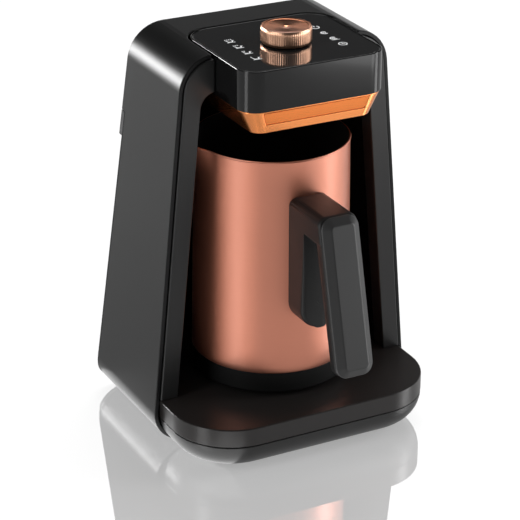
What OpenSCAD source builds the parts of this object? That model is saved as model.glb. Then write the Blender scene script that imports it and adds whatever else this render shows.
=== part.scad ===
// Electric Turkish coffee maker: a wrap casing with an open alcove, a head with a
// turning and pressing knob, a heated tray base and a removable copper pot.
// Millimetres. +Z is up, the front faces -Y and X = 0 is the mirror plane of the machine.

/* [Casing] */
// Height of the casing's flat top above the floor
casing_h = 240; // [232:0.5:256]
// Width of the casing's sides, measured at the height of the flat top
casing_top_w = 129.8; // [126:0.2:140]
// Width of the casing's sides, measured at the floor line
casing_base_w = 173.2; // [168:0.2:186]
// Depth of the casing at the height of the flat top
casing_top_d = 67.8; // [66:0.2:78]
// Depth of the casing at the floor line
casing_base_d = 89.2; // [84:0.2:100]
// Wall of the wrap shell and of the rear cover
wrap_t = 2.5; // [2:0.1:3]
// Radius of the two upper corners of the wrap
top_r = 22; // [16:0.5:26]
// Radius of the two lower corners of the wrap
bottom_r = 20; // [14:0.5:22]
// Bevel of the two upright rear corners
rear_bevel = 3.6; // [2:0.1:4]
// Height of the seam above which the wrap closes its own back
back_seam_z = 187.5; // [176:0.5:196]
// Depth of the rear cover, from its outer face to its open edge
cover_d = 4.7; // [4.2:0.1:6]

/* [Front bezel and alcove] */
// Width of the bezel's arms, from the outer face of the casing to the alcove
bezel_w = 13.8; // [12:0.1:15]
// How far the bezel's face stands in front of the casing's lip
bezel_out = 1.2; // [0.4:0.1:2]
// Thickness of the bezel's face plate behind the lip plane
bezel_t = 2.5; // [2:0.1:4]
// Depth of the bezel's inner flange behind the lip plane
flange_d = 10; // [8:0.5:14]
// Height of the alcove's ceiling
ceiling_z = 218; // [216.8:0.1:218.4]
// Radius of the alcove's two upper corners
mouth_r = 10; // [6:0.5:12]
// Distance of the alcove's rear wall from the lip plane
alcove_d = 64.8; // [64.6:0.1:65.2]
// Radius of the alcove's two upright rear corners
alcove_r = 34; // [28:0.5:38]
// Wall of the alcove liner and of the bezel's flange
liner_t = 2; // [1.6:0.1:2.4]

/* [Base] */
// Height of the tray's surface above the floor
tray_z = 31.6; // [31:0.1:33]
// Height of the seam between the tray and the pan
base_seam_z = 20; // [19:0.1:21]
// Reach of the tray in front of the lip plane
tray_front = 55; // [50:0.5:60]
// Radius of the tray's two front corners, seen from above
tray_r = 38; // [30:0.5:44]
// Reach of the tray and the pan behind the lip plane
tray_back = 68; // [66:0.5:72]
// Wall of the tray and the pan
base_t = 2.2; // [1.8:0.1:2.4]
// Height that the feet hold the casing above the floor
foot_h = 2.5; // [2.2:0.1:3]
// Radius of a rubber foot
foot_r = 7; // [6:0.1:8]

/* [Hot plate] */
// Distance of the pot's axis behind the lip plane
pot_y = 15.9; // [14.5:0.1:16.5]
// Radius of the hot plate's disc
plate_r = 36; // [33:0.5:37]
// Height of the hot plate's disc above the tray
plate_up = 2.4; // [2:0.1:2.8]
// Pitch radius of the heating element's ring
element_r = 27; // [24:0.5:28]
// Radius of the heating element's tube
element_tube_r = 3.2; // [2.6:0.1:3.3]

/* [Head] */
// Half the width of the head
head_half = 45; // [43:0.1:46]
// Reach of the head in front of the lip plane
head_front = 38.5; // [36:0.1:41]
// Reach of the head behind the lip plane
head_rear = 42.5; // [41:0.1:44]
// Height of the head's front wall
head_h = 24; // [24:0.1:25]
// Radius of the head's front corners
head_front_r = 12; // [8:0.5:15]
// Radius of the head's rear corners
head_rear_r = 16; // [12:0.5:19]
// Wall of the head housing
head_t = 2.4; // [2:0.1:2.6]
// Width of the groove between the head and the casing's top
head_moat = 1.6; // [1:0.1:2]
// Thickness of the touch panel
panel_t = 2.6; // [2:0.1:2.8]

/* [Trim and hood] */
// Height of the copper trim band under the head
trim_h = 13.8; // [12:0.1:15]
// How far the band's sides draw in over its height
trim_side_in = 6.6; // [4:0.1:8]
// How far the band's front and rear draw in over its height
trim_front_in = 3.7; // [2:0.1:5]
// Wall of the trim band
trim_t = 2; // [1.6:0.1:2.4]

/* [Knob] */
// Radius of the knob over its flutes
knob_r = 14.6; // [13:0.1:16]
// Height of the knob's top above the head
knob_up = 10; // [9:0.1:11]
// Gap between the knob's skirt and the head's top
knob_gap = 0.8; // [0.7:0.1:1]
// Number of flutes around the knob
flutes = 72; // [48:1:90]
// Radius of the encoder's shaft
shaft_r = 3; // [2.6:0.1:3.1]

/* [Pot] */
// Radius of the pot's wall at its lower edge
pot_base_r = 47.4; // [45:0.1:48]
// Radius of the pot's rim
pot_rim_r = 45.4; // [42:0.1:46.5]
// Height of the pot's lower copper edge above the floor
pot_low_z = 47.5; // [46.5:0.1:50]
// Height of the pot's rim above the floor
pot_rim_z = 180; // [170:0.5:186]
// Wall of the pot
pot_t = 1; // [0.8:0.1:1.4]
// Reach of the pouring spout beyond the rim
spout_reach = 9; // [6:0.1:9.6]
// Half the width of the spout where it leaves the rim
spout_half = 12; // [9:0.1:14]
// Radius of the pot's stepped foot, inside the base ring
step_r = 38; // [36.5:0.1:40]

/* [Handle] */
// Half the width of the handle's post and arm
handle_half = 12.2; // [10:0.1:13]
// Height of the handle's top above the floor
handle_z = 158; // [154:0.1:162]
// Height of the lower end of the post
post_low_z = 82; // [76:0.5:84]
// Distance of the post's front face in front of the lip plane
post_front = 46; // [44:0.5:49]
// Height of the arm, top to underside
arm_h = 17; // [14:0.5:20]
// Distance of the cover seam's top edge in front of the lip plane
grip_front = 62.9; // [61:0.1:66]
// Lean of the grip away from the pot
grip_tilt = 14.6; // [11:0.1:18]
// Length of the grip along its slope
grip_len = 92; // [84:0.5:94]
// Half the width of the grip
grip_half = 11.8; // [10:0.1:13]
// Depth of the grip behind the cover seam
grip_core_t = 7.5; // [6.5:0.1:8.5]
// Thickness of the grip's front cover
grip_cover_t = 4.5; // [3.5:0.1:5]
// Width of the chamfer around the front cover
cover_chamfer = 4.6; // [3:0.1:5]

/* [Hidden] */
$fn = 64;

// Colours
charcoal = "#3a3a3a";
dark = "#1c1c1d";
gloss_black = "#0c0c0d";
orange_copper = "#f2974e";
rose_copper = "#cf8b6d";
steel = "#b4b6ba";
board_green = "#1f5a38";
rubber_black = "#151515";

// Clearances
seam = 0.25;       // visible seams between two mouldings
fit = 0.1;         // parts that seat in one another
run = 0.05;        // radial clearance of turning and sliding parts
screw_r = 1.3;     // shank of the self-tapping screws
head_screw_r = 2.6;
screw_head_h = 1.8;
pilot_gap = 0.05;

// Slopes of the casing
side_tan = (casing_base_w - casing_top_w) / 2 / casing_h;
back_tan = (casing_base_d - casing_top_d) / casing_h;
side_a = atan(side_tan);
back_a = atan(back_tan);
far = casing_base_w;

function half_w(z) = casing_base_w / 2 - side_tan * z;
function back_y(z) = casing_base_d - back_tan * z;
function arc(cx, cy, r, a0, a1, n = 10) =
    [for (k = [0:n]) let (a = a0 + (a1 - a0) * k / n) [cx + r * cos(a), cy + r * sin(a)]];

// Heights and places worked out from the driving sizes
head_z = casing_h - head_h;
plate_z = tray_z + plate_up;
tray_under = tray_z - base_t;
flange_r = plate_r + 4;
flange_t = 1.7;
plate_low_z = tray_under - flange_t;
clamp_t = 1.5;
clamp_z = plate_low_z - clamp_t;
shield_t = 1;
pan_low_z = foot_h + 0.3;
pan_floor_z = pan_low_z + base_t;
inner_floor_z = foot_h + wrap_t + 0.3;
inner_floor_top = inner_floor_z + base_t;
base_half = half_w(tray_z) - wrap_t / cos(side_a) - 0.3;
pan_r = bottom_r - wrap_t - 0.3;
pot_gap = 0.3;
pot_bottom_z = plate_z + pot_gap;
knob_top_z = casing_h + knob_up;
knob_low_z = casing_h + knob_gap;
knob_travel = 0.5;

// The model stands centred on the origin between the handle's front and the casing's back
handle_reach = grip_front + (grip_len - cover_chamfer) * sin(grip_tilt)
             + grip_cover_t * cos(grip_tilt);
y_shift = (handle_reach - back_y(foot_h)) / 2;

module place() { translate([0, y_shift, 0]) children(); }
module both_sides() { for (s = [-1, 1]) scale_x(s) children(); }
module scale_x(s) { if (s > 0) children(); else mirror([1, 0, 0]) children(); }

// Extrudes a drawing of the X-Z plane from y0 to y1
module along_y(y0, y1) { translate([0, y1, 0]) rotate([90, 0, 0]) linear_extrude(y1 - y0) children(); }
// Extrudes a drawing of the Y-Z plane from x0 to x1
module along_x(x0, x1) { translate([x0, 0, 0]) rotate([90, 0, 90]) linear_extrude(x1 - x0) children(); }
// A ring standing on z
module tube(r, bore, h) { difference() { cylinder(r = r, h = h); translate([0, 0, -1]) cylinder(r = bore, h = h + 2); } }

// ---- Casing ----------------------------------------------------------------

function casing_outline(i) =
    let (zt = casing_h - top_r, zb = foot_h + bottom_r,
         xt = half_w(zt) - top_r / cos(side_a), xb = half_w(zb) - bottom_r / cos(side_a))
    concat(arc(xb, zb, bottom_r - i, -90, side_a), arc(xt, zt, top_r - i, side_a, 90),
           arc(-xt, zt, top_r - i, 90, 180 - side_a), arc(-xb, zb, bottom_r - i, 180 - side_a, 270));

// The casing's whole outer form, drawn in by i, from the plane y = front to the back
module casing_block(i, front = 0) {
    inset_back = i / cos(back_a);
    lean = side_tan + back_tan;
    difference() {
        intersection() {
            along_y(front, casing_base_d + 1) polygon(casing_outline(i));
            along_x(-far, far) polygon([
                [front - 1, 0], [back_y(0) - inset_back, 0],
                [back_y(casing_h + 1) - inset_back, casing_h + 1], [front - 1, casing_h + 1]]);
        }
        both_sides() translate([half_w(0), back_y(0) - rear_bevel, 0])
            rotate([0, acos(lean / sqrt(2 + lean * lean)), 45])
                translate([-far, -far, -i]) cube([2 * far, 2 * far, far / 4]);
    }
}

// The space that the rear cover takes: the rear slab below the seam
module rear_zone(gap) {
    top = back_seam_z - gap;
    along_x(-far, far) polygon([
        [back_y(-5) - cover_d + gap, -5], [back_y(0) + far / 4, -5],
        [back_y(0) + far / 4, top], [back_y(top) - cover_d + gap, top]]);
}

rear_screw_z = [44, 150];
boss_r = 3.6;
boss_len = 12;
module at_rear_screws() {
    for (z = rear_screw_z) both_sides() translate([half_w(z) - wrap_t - boss_r - 2, back_y(z), z]) children();
}

module outer_casing() color(charcoal) place() difference() {
    union() {
        difference() { casing_block(0); casing_block(wrap_t, -1); }
        intersection() {
            casing_block(wrap_t / 2);
            at_rear_screws() translate([0, -cover_d, 0]) rotate([90, 0, 0]) {
                cylinder(r = boss_r, h = boss_len);
                translate([0, -boss_r, 0]) cube([boss_r + wrap_t + 3, 2 * boss_r, boss_len]);
            }
        }
    }
    rear_zone(0);
    at_rear_screws() rotate([90, 0, 0]) cylinder(r = screw_r + pilot_gap, h = boss_len + cover_d - 1);
    translate([0, 0, casing_h - wrap_t - 1]) linear_extrude(wrap_t + 2) polygon(head_plan(-head_moat));
    at_rear_feet() translate([0, 0, foot_h - 1]) cylinder(r = stem_r + fit, h = wrap_t + 2);
    at_rear_base_screws() translate([0, 0, foot_h - 1]) cylinder(r = head_screw_r + 1, h = wrap_t + 2);
}

vent_w = 34;
vent_h = 2;
vent_pitch = 6;
vent_rows = 7;
vent_z = 120;
gland_x = -44;
gland_z = 24;
gland_bore_r = 3.5;
gland_r = 5.6;
module rear_cover() color(dark) place() difference() {
    union() {
        intersection() {
            difference() { casing_block(0); casing_block(wrap_t, -1); }
            rear_zone(seam);
        }
        intersection() {
            casing_block(wrap_t / 2);
            at_rear_screws() translate([0, -cover_d + seam, 0]) rotate([-90, 0, 0]) cylinder(r = boss_r, h = cover_d);
        }
    }
    at_rear_screws() rotate([90, 0, 0]) {
        translate([0, 0, -5]) cylinder(r = screw_r + 0.3, h = 20);
        translate([0, 0, -5]) cylinder(r = head_screw_r + 0.3, h = 5 + 1.6);
    }
    for (row = [0:vent_rows - 1], s = [-1, 1])
        translate([s * vent_w * 0.6 - vent_w / 2, back_y(vent_z) - 10, vent_z + row * vent_pitch])
            cube([vent_w, 20, vent_h]);
    translate([gland_x, back_y(gland_z) + 5, gland_z]) rotate([90, 0, 0]) cylinder(r = gland_r + fit, h = 20);
}

// ---- Front bezel and alcove ------------------------------------------------

function mouth_outline(i, low_z) =
    let (zc = ceiling_z - mouth_r, xc = half_w(zc) - bezel_w - mouth_r / cos(side_a),
         xl = half_w(low_z) - bezel_w - i / cos(side_a))
    concat([[-xl, low_z], [xl, low_z]], arc(xc, zc, mouth_r - i, side_a, 90),
           arc(-xc, zc, mouth_r - i, 90, 180 - side_a));

alcove_low_z = tray_z + 0.3;
module front_bezel() color(charcoal) place() difference() {
    union() {
        along_y(-bezel_out, bezel_t) polygon(casing_outline(wrap_t + 0.4));
        along_y(0, flange_d) polygon(mouth_outline(-liner_t, alcove_low_z));
    }
    along_y(-bezel_out - 1, flange_d + 1) polygon(mouth_outline(0, 0));
    translate([-far, -far / 2, -1]) cube([2 * far, far, alcove_low_z + 1]);
    intersection() {
        translate([0, 0, head_z - seam]) linear_extrude(head_h + 1) polygon(head_plan(-seam));
        along_y(-far, bezel_t + seam) polygon(casing_outline(0));
    }
}

function alcove_plan(i) =
    let (w = half_w(0), cx = half_w(tray_z) - bezel_w - alcove_r, cy = alcove_d - alcove_r)
    concat([[-cx - alcove_r + i, flange_d - 1], [cx + alcove_r - i, flange_d - 1]],
           arc(cx, cy, alcove_r - i, 0, 90, 14), arc(-cx, cy, alcove_r - i, 90, 180, 14));

module alcove_form(i) {
    intersection() {
        along_y(0, alcove_d + 5) polygon(mouth_outline(i, alcove_low_z - (i < 0 ? 0 : 1)));
        linear_extrude(casing_h) polygon(alcove_plan(i));
    }
}

head_boss_y = head_rear - 12.5;
head_boss_x = head_half - 12;
plug_in = 15;
plug_x = head_half - plug_in;
harness_r = 1.5;
module at_head_screws() { both_sides() translate([head_boss_x, head_boss_y, 0]) children(); }
wire_hole_r = 5;
wire_hole_y = 18;
module alcove_liner() color(gloss_black) place() difference() {
    alcove_form(-liner_t);
    alcove_form(0);
    translate([-far, -far + flange_d + seam, 0]) cube([2 * far, far, casing_h]);
    translate([0, wire_hole_y, ceiling_z - 1]) cylinder(r = wire_hole_r, h = liner_t + 2);
    at_head_screws() translate([0, 0, ceiling_z - 1]) cylinder(r = screw_r + 0.2, h = liner_t + 2);
}

// ---- Base ------------------------------------------------------------------

// Upright section of the base's wall, from the middle out to r, with its rounded lower edge
function base_section(r, z0, z1, f) = concat([[0, z0]], arc(r - f, z0 + f, f, -90, 0), [[r, z1], [0, z1]]);

// The base's form drawn in by i, with its rounded lower edge, reaching back to y1
module base_form(i, z0, z1, f, y1) {
    r = tray_r - i;
    cx = base_half - tray_r;
    cy = tray_r - tray_front;
    hull() {
        both_sides() translate([cx, cy, 0]) rotate_extrude($fn = 48) polygon(base_section(r, z0, z1, f));
        along_y(y1 - 1, y1) polygon(concat(base_section(cx + r, z0, z1, f),
            [for (p = base_section(cx + r, z0, z1, f)) [-p[0], p[1]]]));
    }
}

function base_plan(i, y1) =
    let (cx = base_half - tray_r, cy = tray_r - tray_front)
    concat([[base_half - i, y1], [-base_half + i, y1]], arc(-cx, cy, tray_r - i, 180, 270, 14),
           arc(cx, cy, tray_r - i, 270, 360, 14));

base_screw_x = 30;
front_screw = [base_screw_x, 22 - tray_front];
rear_screw = [base_screw_x, tray_back - 7];
base_boss_r = 3.8;
boss_split_z = 12;
module at_front_base_screws() { both_sides() translate([front_screw[0], front_screw[1], 0]) children(); }
module at_rear_base_screws() { both_sides() translate([rear_screw[0], rear_screw[1], 0]) children(); }
module at_base_screws() { at_front_base_screws() children(); at_rear_base_screws() children(); }

clamp_ring_r = flange_r + 8;
clamp_screw_ring = flange_r + 4.4;
clamp_screws_n = 3;
module at_clamp_screws() {
    for (k = [0:clamp_screws_n - 1]) translate([0, pot_y, 0]) rotate([0, 0, 90 + k * 360 / clamp_screws_n])
        translate([clamp_screw_ring, 0, 0]) children();
}

module base_tray() color(charcoal) place() difference() {
    union() {
        difference() {
            translate([0, 0, base_seam_z + seam / 2]) linear_extrude(tray_z - base_seam_z - seam / 2)
                polygon(base_plan(0, tray_back));
            translate([0, 0, base_seam_z - 1]) linear_extrude(tray_under - base_seam_z + 1)
                polygon(base_plan(base_t, tray_back + 1));
        }
        at_base_screws() translate([0, 0, boss_split_z + seam]) cylinder(r = base_boss_r, h = tray_under - boss_split_z);
        at_clamp_screws() translate([0, 0, clamp_z + clamp_t]) cylinder(r = 3, h = tray_under - clamp_z - clamp_t + 0.5);
    }
    translate([0, pot_y, tray_under - 1]) cylinder(r = plate_r + 1.6, h = base_t + 2);
    for (x = [harness_x, gland_x - 9]) translate([x - 5, tray_back - base_t - 1, base_seam_z - 1]) cube([10, base_t + 2, 9]);
    at_base_screws() translate([0, 0, boss_split_z - 1]) cylinder(r = screw_r + pilot_gap, h = 14);
    at_clamp_screws() translate([0, 0, clamp_z]) cylinder(r = screw_r + pilot_gap, h = tray_z - 1 - clamp_z);
}

board_w = 26;
board_gap = 8.7;
board_x = base_half - base_t - board_gap - board_w;
board_l = 70;
board_y = tray_back - 18 - board_l;
board_up = 4.5;
board_z = inner_floor_top + board_up;
board_t = 1.6;
post_inset = 3;
module at_board_posts() {
    for (x = [board_x + post_inset, board_x + board_w - post_inset], y = [board_y + post_inset, board_y + board_l - post_inset])
        translate([x, y, 0]) children();
}

stem_r = 2.6;
foot_in = 30.9;
foot_x = base_half - foot_in;
front_foot = [foot_x, 30 - tray_front];
rear_foot = [foot_x, tray_back - 14];
module at_front_feet() { both_sides() translate([front_foot[0], front_foot[1], 0]) children(); }
module at_rear_feet() { both_sides() translate([rear_foot[0], rear_foot[1], 0]) children(); }

// Behind the lip plane the pan steps up into the casing, in front of it it reaches lower
pan_step_y = -seam;
pan_web_y = pan_step_y - base_t;
pan_top_z = base_seam_z - seam / 2;
module pan_block(i) {
    intersection() {
        base_form(i, pan_low_z + i, pan_top_z, pan_r - i, tray_back);
        translate([-far, -far + pan_step_y, 0]) cube([2 * far, far, pan_top_z]);
    }
    intersection() {
        base_form(i, inner_floor_z + i, pan_top_z, pan_r - i, tray_back);
        translate([-far, pan_web_y, 0]) cube([2 * far, far, pan_top_z]);
    }
}

module base_pan() color(charcoal) place() difference() {
    union() {
        difference() {
            pan_block(0);
            intersection() {
                base_form(base_t, pan_floor_z, base_seam_z + 5, pan_r - base_t, tray_back);
                translate([-far, -far + pan_web_y, 0]) cube([2 * far, far, base_seam_z + 5]);
            }
            intersection() {
                base_form(base_t, inner_floor_top, base_seam_z + 5, pan_r - base_t, tray_back - base_t);
                translate([-far, pan_web_y - 0.01, 0]) cube([2 * far, far, base_seam_z + 5]);
            }
        }
        intersection() {
            pan_block(base_t / 2);
            union() {
                at_base_screws() cylinder(r = base_boss_r, h = boss_split_z);
                at_board_posts() cylinder(r = 2.4, h = board_z);
            }
        }
    }
    at_base_screws() {
        cylinder(r = screw_r + 0.3, h = 30);
        cylinder(r = head_screw_r + 0.4, h = boss_split_z - 2.5);
    }
    at_front_feet() cylinder(r = stem_r + fit, h = 12);
    at_rear_feet() cylinder(r = stem_r + fit, h = 12);
}

module foot(under_z, over_z) {
    cylinder(r1 = foot_r - 0.8, r2 = foot_r, h = 1);
    translate([0, 0, 1]) cylinder(r = foot_r, h = under_z - 1);
    translate([0, 0, under_z - 0.5]) cylinder(r = stem_r, h = over_z - under_z + 0.5);
    translate([0, 0, over_z]) cylinder(r1 = stem_r + 0.8, r2 = stem_r - 0.4, h = 2);
}

module rubber_feet() color(rubber_black) place() {
    at_front_feet() foot(pan_low_z, pan_floor_z);
    at_rear_feet() foot(foot_h, inner_floor_top);
}

module screw(length) {
    translate([0, 0, -screw_head_h]) difference() {
        cylinder(r = head_screw_r, h = screw_head_h);
        for (a = [0, 90]) rotate([0, 0, a]) translate([-1.5, -0.3, -1]) cube([3, 0.6, 1.8]);
    }
    translate([0, 0, -0.1]) cylinder(r = screw_r, h = length + 0.1);
}

module base_screws() color(steel) place() at_base_screws() translate([0, 0, boss_split_z - 2.5]) screw(14);
module clamp_screws() color(steel) place() at_clamp_screws() translate([0, 0, clamp_z - shield_t]) screw(4.6);
module rear_cover_screws() color(steel) place() at_rear_screws() translate([0, -1.6, 0]) rotate([90, 0, 0]) screw(11);

// ---- Hot plate -------------------------------------------------------------

module hot_plate() color("#8d8f93") place() translate([0, pot_y, 0]) {
    translate([0, 0, plate_low_z]) cylinder(r = flange_r, h = flange_t);
    translate([0, 0, plate_low_z + flange_t - 0.1]) cylinder(r = plate_r, h = plate_z - plate_low_z - flange_t - 0.4);
    translate([0, 0, plate_z - 0.5]) cylinder(r1 = plate_r, r2 = plate_r - 0.5, h = 0.5);
}

module plate_seal() color("#2a2a2a") place() translate([0, pot_y, tray_under + seam])
    tube(plate_r + 1.5, plate_r + fit, base_t + 0.3);

module plate_clamp_ring() color(steel) place() difference() {
    translate([0, pot_y, clamp_z]) tube(clamp_ring_r, flange_r - 6, clamp_t);
    at_clamp_screws() translate([0, 0, clamp_z - 1]) cylinder(r = screw_r + 0.2, h = clamp_t + 2);
}

module heating_element() color("#6f6259") place() translate([0, pot_y, plate_low_z - fit - element_tube_r]) {
    rotate_extrude() translate([element_r, 0]) circle(r = element_tube_r, $fn = 32);
    for (x = [-6, 6]) translate([x, -element_r, 0]) rotate([180, 0, 0]) cylinder(r = 1.6, h = 5.5);
}

shield_r = flange_r + 0.5;
shield_z = clamp_z - 7.2;
module heat_shield() color(steel) place() difference() {
    translate([0, pot_y, 0]) union() {
        translate([0, 0, shield_z]) tube(shield_r + shield_t, 8, shield_t);
        translate([0, 0, shield_z]) tube(shield_r + shield_t, shield_r, clamp_z - shield_z);
        translate([0, 0, clamp_z - shield_t]) tube(clamp_ring_r, shield_r, shield_t);
    }
    at_clamp_screws() translate([0, 0, clamp_z - 3]) cylinder(r = screw_r + 0.2, h = 4);
    translate([-10, pot_y - element_r - 3, shield_z - 1]) cube([20, 6, shield_t + 2]);
}

module temperature_sensor() color("#c8c8c8") place() translate([0, pot_y, 0]) {
    translate([0, 0, shield_z]) cylinder(r = 3.2, h = plate_low_z - shield_z - fit);
    translate([0, 0, shield_z + shield_t + 1]) tube(7, 3.25, 1);
}

module thermal_fuse() color("#e8e4da") place() translate([12, pot_y + 4, plate_low_z - 5.2]) {
    rotate([0, 90, 0]) cylinder(r = 2.2, h = 9);
    translate([0, -2.2, 2]) cube([9, 4.4, 3]);
}

// ---- Head ------------------------------------------------------------------

function rounded_plan(half, front, rear, rf, rr) =
    concat(arc(half - rf, -front + rf, rf, -90, 0), arc(half - rr, rear - rr, rr, 0, 90),
           arc(-half + rr, rear - rr, rr, 90, 180), arc(-half + rf, -front + rf, rf, 180, 270));
function head_plan(i) = rounded_plan(head_half - i, head_front - i, head_rear - i, head_front_r - i, head_rear_r - i);

head_step_y = bezel_t + seam;
rear_bottom_z = ceiling_z + liner_t + seam;
panel_z = casing_h - panel_t;
panel_lip = 1.4;
standoff_r = 3;
control_down = 9.4;
control_z = panel_z - control_down;
module at_standoffs() {
    for (x = [12 - head_half, head_half - 12], y = [14.5 - head_front, head_rear - 24.5]) translate([x, y, 0]) children();
}

module head_housing() color(gloss_black) place() difference() {
    union() {
        difference() {
            translate([0, 0, head_z]) linear_extrude(head_h - 0.1) polygon(head_plan(0));
            translate([0, 0, panel_z - 0.1]) linear_extrude(panel_t + 1) polygon(head_plan(panel_lip));
            difference() {
                translate([0, 0, head_z + head_t]) linear_extrude(head_h) polygon(head_plan(head_t));
                translate([-far, -seam, 0]) cube([2 * far, far, rear_bottom_z + head_t]);
            }
            translate([-far, head_step_y, 0]) cube([2 * far, far, rear_bottom_z]);
        }
        at_standoffs() translate([0, 0, head_z + 1]) cylinder(r = standoff_r, h = control_z - head_z - 1);
        at_head_screws() translate([0, 0, rear_bottom_z]) cylinder(r = standoff_r, h = 7);
    }
    translate([-far, head_step_y, 0]) cube([2 * far, far, rear_bottom_z]);
    at_head_screws() translate([0, 0, rear_bottom_z - 1]) cylinder(r = screw_r + pilot_gap, h = 8);
    translate([0, wire_hole_y, rear_bottom_z - 1]) cylinder(r = wire_hole_r, h = head_t + 2);
    translate([plug_x, head_rear + 5, control_z - 3.4]) rotate([90, 0, 0]) cylinder(r = 2 * harness_r, h = 12);
}

module head_screws() color(steel) place() at_head_screws() translate([0, 0, ceiling_z]) screw(8);

bushing_r = shaft_r + 0.7;
module touch_panel() color("#050506") place() difference() {
    translate([0, 0, panel_z]) linear_extrude(panel_t - 0.2) polygon(head_plan(panel_lip + fit));
    translate([0, 0, panel_z - 1]) cylinder(r = bushing_r + 0.2, h = panel_t + 2);
}

icon_x = 27.5;
icon_pitch = 10.7;
icons_per_side = 4;
module at_icons() {
    for (k = [0:icons_per_side - 1]) both_sides() translate([icon_x, (k - (icons_per_side - 1) / 2) * icon_pitch, 0]) children();
}

module control_board() color(board_green) place() difference() {
    translate([0, 0, control_z]) linear_extrude(board_t)
        polygon(rounded_plan(head_half - 7, head_front - 6.5, head_rear - 12.5, 4, 4));
    at_standoffs() translate([0, 0, control_z - 1]) cylinder(r = 1.4, h = 4);
}

module indicator_lights() color("#f4f6ff") place() at_icons() translate([-1.6, -1.4, control_z + board_t]) cube([3.2, 2.8, 1.6]);

module buzzer() color(dark) place() translate([-14, 22, control_z + board_t]) difference() {
    cylinder(r = 5, h = 4.5);
    translate([0, 0, 3]) cylinder(r = 1, h = 3);
}

// ---- Knob and encoder ------------------------------------------------------

enc_z = control_z + board_t;
enc_w = 12.4;
rotor_z = enc_z + 1.6;
rotor_h = 2.6;
rotor_r = 4.6;
key_half = 1.4;
shaft_end_z = rotor_z - 0.1;
shoulder_z = rotor_z + rotor_h + knob_travel + 0.15;

module encoder_body() color(steel) place() difference() {
    union() {
        translate([-enc_w / 2, -enc_w / 2, enc_z]) cube([enc_w, enc_w, 6]);
        translate([0, 0, enc_z + 5]) cylinder(r = bushing_r, h = casing_h - enc_z - 5 + 0.2);
    }
    translate([0, 0, rotor_z - fit]) cylinder(r = rotor_r + run, h = rotor_h + 2 * fit);
    translate([0, 0, rotor_z - fit]) cylinder(r = shaft_r + run, h = 30);
    translate([0, 0, rotor_z - 0.9]) cylinder(r = 2.4, h = 2);
}

module encoder_rotor() color("#e9e6dc") place() difference() {
    translate([0, 0, rotor_z]) cylinder(r = rotor_r, h = rotor_h);
    translate([-key_half - run, -key_half - run, rotor_z - 1]) cube([2 * (key_half + run), 2 * (key_half + run), rotor_h + 2]);
}

hub_z = knob_top_z - 3.2;
module encoder_shaft() color(steel) place() {
    translate([-key_half, -key_half, shaft_end_z]) cube([2 * key_half, 2 * key_half, shoulder_z - shaft_end_z + 0.1]);
    translate([0, 0, shoulder_z]) cylinder(r = shaft_r, h = hub_z - shoulder_z);
}

cap_t = 1.6;
flute_depth = 0.35;
module knob_hub() color(dark) place() difference() {
    union() {
        translate([0, 0, hub_z - 0.4]) cylinder(r = knob_r - cap_t - run - flute_depth, h = knob_top_z - cap_t - hub_z + 0.4 - 0.5);
        translate([0, 0, knob_low_z + 0.6]) cylinder(r = shaft_r + 2.4, h = hub_z - knob_low_z - 0.6);
    }
    translate([0, 0, knob_low_z]) cylinder(r = shaft_r + 0.02, h = hub_z - knob_low_z + 0.01);
}

// Fluted outline: two points out and two points in for each flute
function fluted(r, d, n) = [for (k = [0:n - 1], p = [[0, 0], [0.5, 0], [0.6, 1], [0.9, 1]])
    let (a = (k + p[0]) * 360 / n, q = r - d * p[1]) [q * cos(a), q * sin(a)]];

module knob_cap() color(rose_copper) place() translate([0, 0, knob_low_z]) {
    h = knob_top_z - knob_low_z;
    inner = knob_r - cap_t - flute_depth;
    difference() {
        union() {
            translate([0, 0, 0.8]) linear_extrude(h - 1.6) polygon(fluted(knob_r, flute_depth, flutes));
            cylinder(r1 = knob_r - 0.9, r2 = knob_r - flute_depth, h = 0.9);
            translate([0, 0, h - 0.9]) cylinder(r1 = knob_r - flute_depth, r2 = knob_r - 0.9, h = 0.9);
        }
        translate([0, 0, -1]) cylinder(r = inner, h = h - cap_t + 0.5);
        translate([0, 0, h - 0.5]) cylinder(r1 = knob_r - 2.4, r2 = knob_r - 1.6, h = 0.6);
    }
}

// ---- Trim band and hood ----------------------------------------------------

trim_top_z = head_z;
trim_low_z = trim_top_z - trim_h;
trim_inset = 0.6;
trim_rear = head_rear - 3;
ledge_h = 1.4;
ledge_w = 2;
// Plan of the band at depth t below its top (0 to 1), drawn in by i
function trim_plan(t, i) = rounded_plan(
    head_half - trim_inset - t * trim_side_in - i, head_front - trim_inset - t * trim_front_in - i,
    trim_rear - t * trim_front_in - i,
    head_front_r - trim_inset - t * trim_front_in - i, head_rear_r - trim_front_in - t * trim_front_in - i);

module trim_solid(i, t0, t1) {
    hull() {
        translate([0, 0, trim_top_z - t0 * trim_h - 0.05]) linear_extrude(0.05) polygon(trim_plan(t0, i));
        translate([0, 0, trim_top_z - t1 * trim_h]) linear_extrude(0.05) polygon(trim_plan(t1, i));
    }
}

trim_a = atan(trim_front_in / trim_h);
trim_plate_t = 0.6;
trim_plate_half = 32;
module on_trim_face() {
    translate([0, -(head_front - trim_inset), trim_top_z]) rotate([90 + trim_a, 0, 0]) children();
}
module trim_plate_shape(grow) {
    polygon([[-trim_plate_half - 1.2 - grow, -1.2 + grow], [trim_plate_half + 1.2 + grow, -1.2 + grow],
             [trim_plate_half - 1 + grow, -trim_h * 0.62 - grow], [-trim_plate_half + 1 - grow, -trim_h * 0.62 - grow]]);
}

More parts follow.
